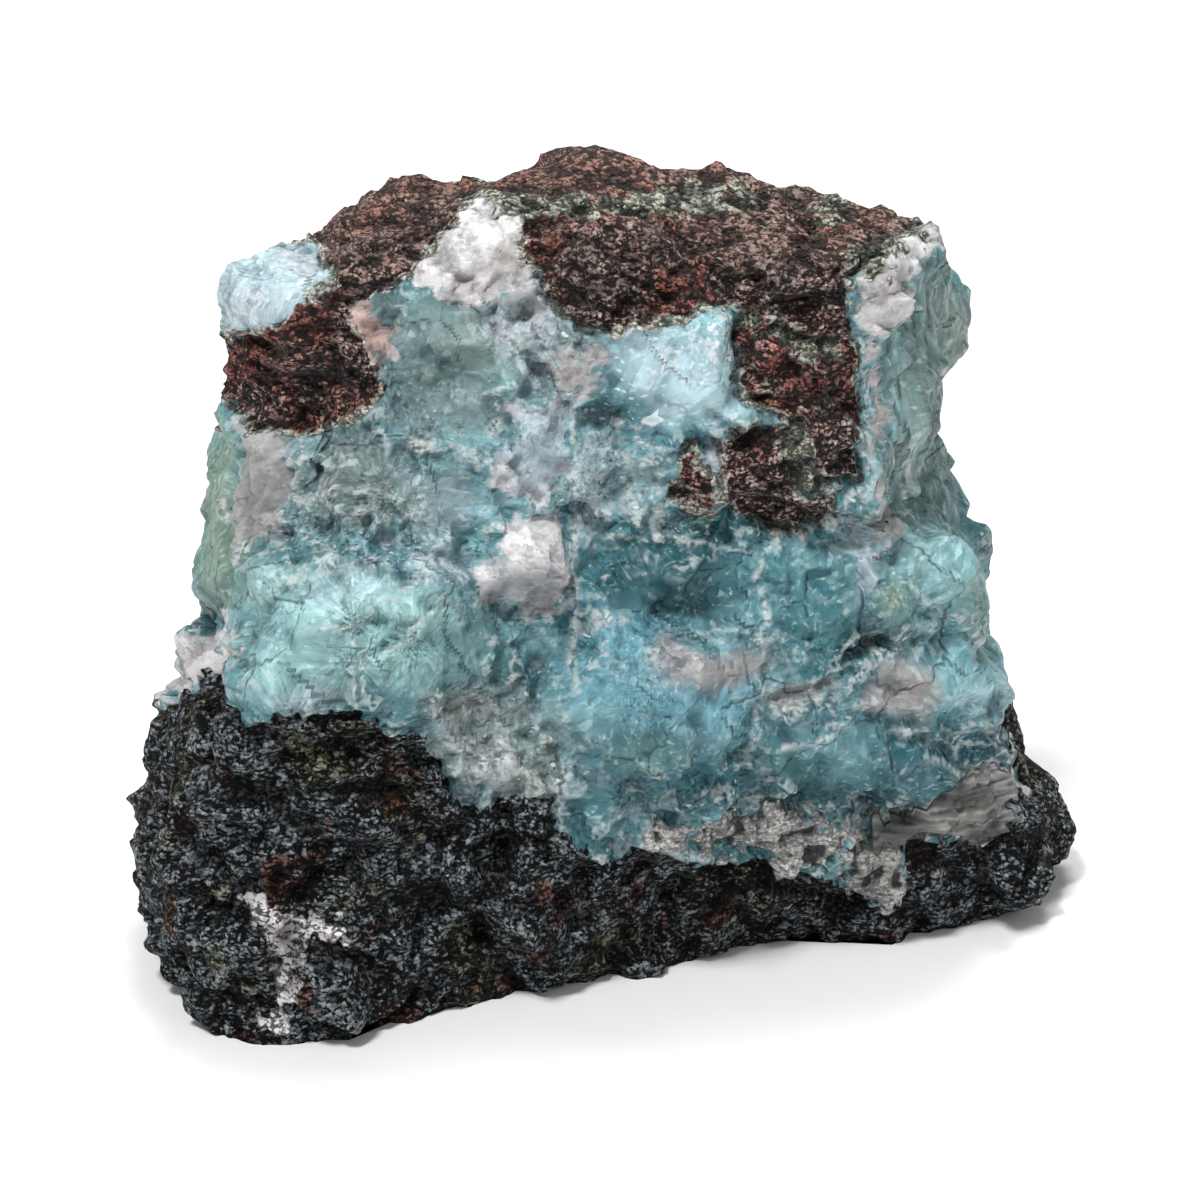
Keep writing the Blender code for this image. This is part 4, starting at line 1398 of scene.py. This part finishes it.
calcite = calcite_finish()
green_rind = rind_finish(("#4d5044", "#6d7062", "#8b8f7f", "#a5a898", "#bcbeb0", "#d6d4c9"))
cream_rind = rind_finish(("#5e574a", "#8a8373", "#aaa594", "#c0bcac", "#d0cdc0", "#e4e1d8"))
in_foot = mineral_share("basalt", 0.1)
calcite_here = worked("MULTIPLY", mineral_share("calcite", 0.5, 1.9), 0.9)
rim_gap = worked("ABSOLUTE", worked("ADD", kept("cap_depth"), 0.3))
on_rim = ranged(worked("MULTIPLY_ADD", fraying, 2.6, rim_gap), 1.85, 1.5, 0.0, 0.85)
specked = worked("MULTIPLY", mineral_share("spot", 0.4, 3.5), ranged(grain, 0.36, 0.5, 0.2, 1.0))
stone = laid_over(pectolite_finish(), calcite, calcite_here)
stone = laid_over(stone, cap_finish(), mineral_share("cap", 0.12))
stone = laid_over(stone, cream_rind, on_rim)
stone = laid_over(stone, green_rind, mineral_share("rind", 0.3, 2.5))
stone = laid_over(stone, basalt_finish(), in_foot)
stone = laid_over(stone, calcite, specked)
stone = laid_over(stone, crust_finish(), mineral_share("crust", 0.25, 1.5))
stone = laid_over(stone, fibrous_finish(), mineral_share("fibre", 0.3, 2.6))
# Painted shadow: near-black laid into the pits, as deep as they sink.
stone_colour = painted(stone[0], "#14191b", worked("MULTIPLY", kept("pit_shadow"), 0.6))

# %% [markdown]
# ## The stone's shader
# The mixed colour and roughness go to one shader, and the fine height tilts its shading as a bump.
# Displacing such small chips would take millions of triangles, so the mesh carries the relief down
# to about a millimetre and the bump carries the rest. Basalt is duller, so its shine is lower.

# %% The stone's shader
PECTOLITE_IOR = 1.6
SHINE = 0.3
SHINE_OF_BASALT = 0.12

bump = add("ShaderNodeBump", {"Height": stone[2], "Distance": MM, "Strength": 1.0}).outputs[0]
shader = tree.nodes["Principled BSDF"]
tree.links.new(stone_colour, shader.inputs["Base Color"])
tree.links.new(stone[1], shader.inputs["Roughness"])
tree.links.new(bump, shader.inputs["Normal"])
shader.inputs["IOR"].default_value = PECTOLITE_IOR
tree.links.new(ranged(in_foot, 0.0, 1.0, SHINE, SHINE_OF_BASALT), shader.inputs["Specular IOR Level"])
rock_mesh.materials.append(stone_material)
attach(rock, "root")
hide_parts("larimar_stone")
print("nodes in the material:", len(tree.nodes))

# %% [markdown]
# ## Floor and light
# The photograph is evenly lit on white, so the studio is a pale floor under large soft lamps: a
# key from the upper left, a fill from the right and a top light, with a pale sky round them.

# %% Studio
FLOOR_HALF_M = 3.0
FLOOR_CORNERS = ((-1, -1), (1, -1), (1, 1), (-1, 1))
LAMPS_AIM_M = (0.0, 0.0, 0.05)
SKY_STRENGTH = 0.38

floor_mesh = bpy.data.meshes.new("floor")
floor_places = [(FLOOR_HALF_M * x, FLOOR_HALF_M * y, 0.0) for x, y in FLOOR_CORNERS]
floor_mesh.from_pydata(floor_places, [], [(0, 1, 2, 3)])
floor = bpy.data.objects.new("floor", floor_mesh)
floor_paint = bpy.data.materials.new("matt_white_paper")
floor_paint.use_nodes = True
paper = floor_paint.node_tree.nodes["Principled BSDF"].inputs
paper["Base Color"].default_value = (*from_hex("#f4f4f4"), 1.0)
paper["Roughness"].default_value = 0.9
floor_mesh.materials.append(floor_paint)
bpy.context.scene.collection.objects.link(floor)

LAMPS = (
    ("key", (-0.8, -1.3, 2.8), 0.6, 76.0),
    ("fill", (2.2, -1.8, 1.4), 1.8, 6.4),
    ("top", (0.2, 0.9, 2.8), 1.0, 44.0),
)
for name, place_m, side_m, watts in LAMPS:
    lamp = bpy.data.objects.new(name, bpy.data.lights.new(name, "AREA"))
    lamp.data.size = side_m
    lamp.data.energy = watts
    lamp.location = place_m
    towards = np.array(LAMPS_AIM_M) - np.array(place_m)
    flat_run = math.hypot(towards[0], towards[1])
    lamp.rotation_euler = (math.atan2(flat_run, -towards[2]), 0.0, math.atan2(-towards[0], towards[1]))
    bpy.context.scene.collection.objects.link(lamp)

world = bpy.data.worlds.new("pale_studio")
world.use_nodes = True
pale_sky = world.node_tree.nodes["Background"].inputs
pale_sky["Color"].default_value = (1.0, 1.0, 1.0, 1.0)
pale_sky["Strength"].default_value = SKY_STRENGTH
bpy.context.scene.world = world
bpy.context.scene.view_settings.view_transform = "Standard"
print("lamps:", len(LAMPS))
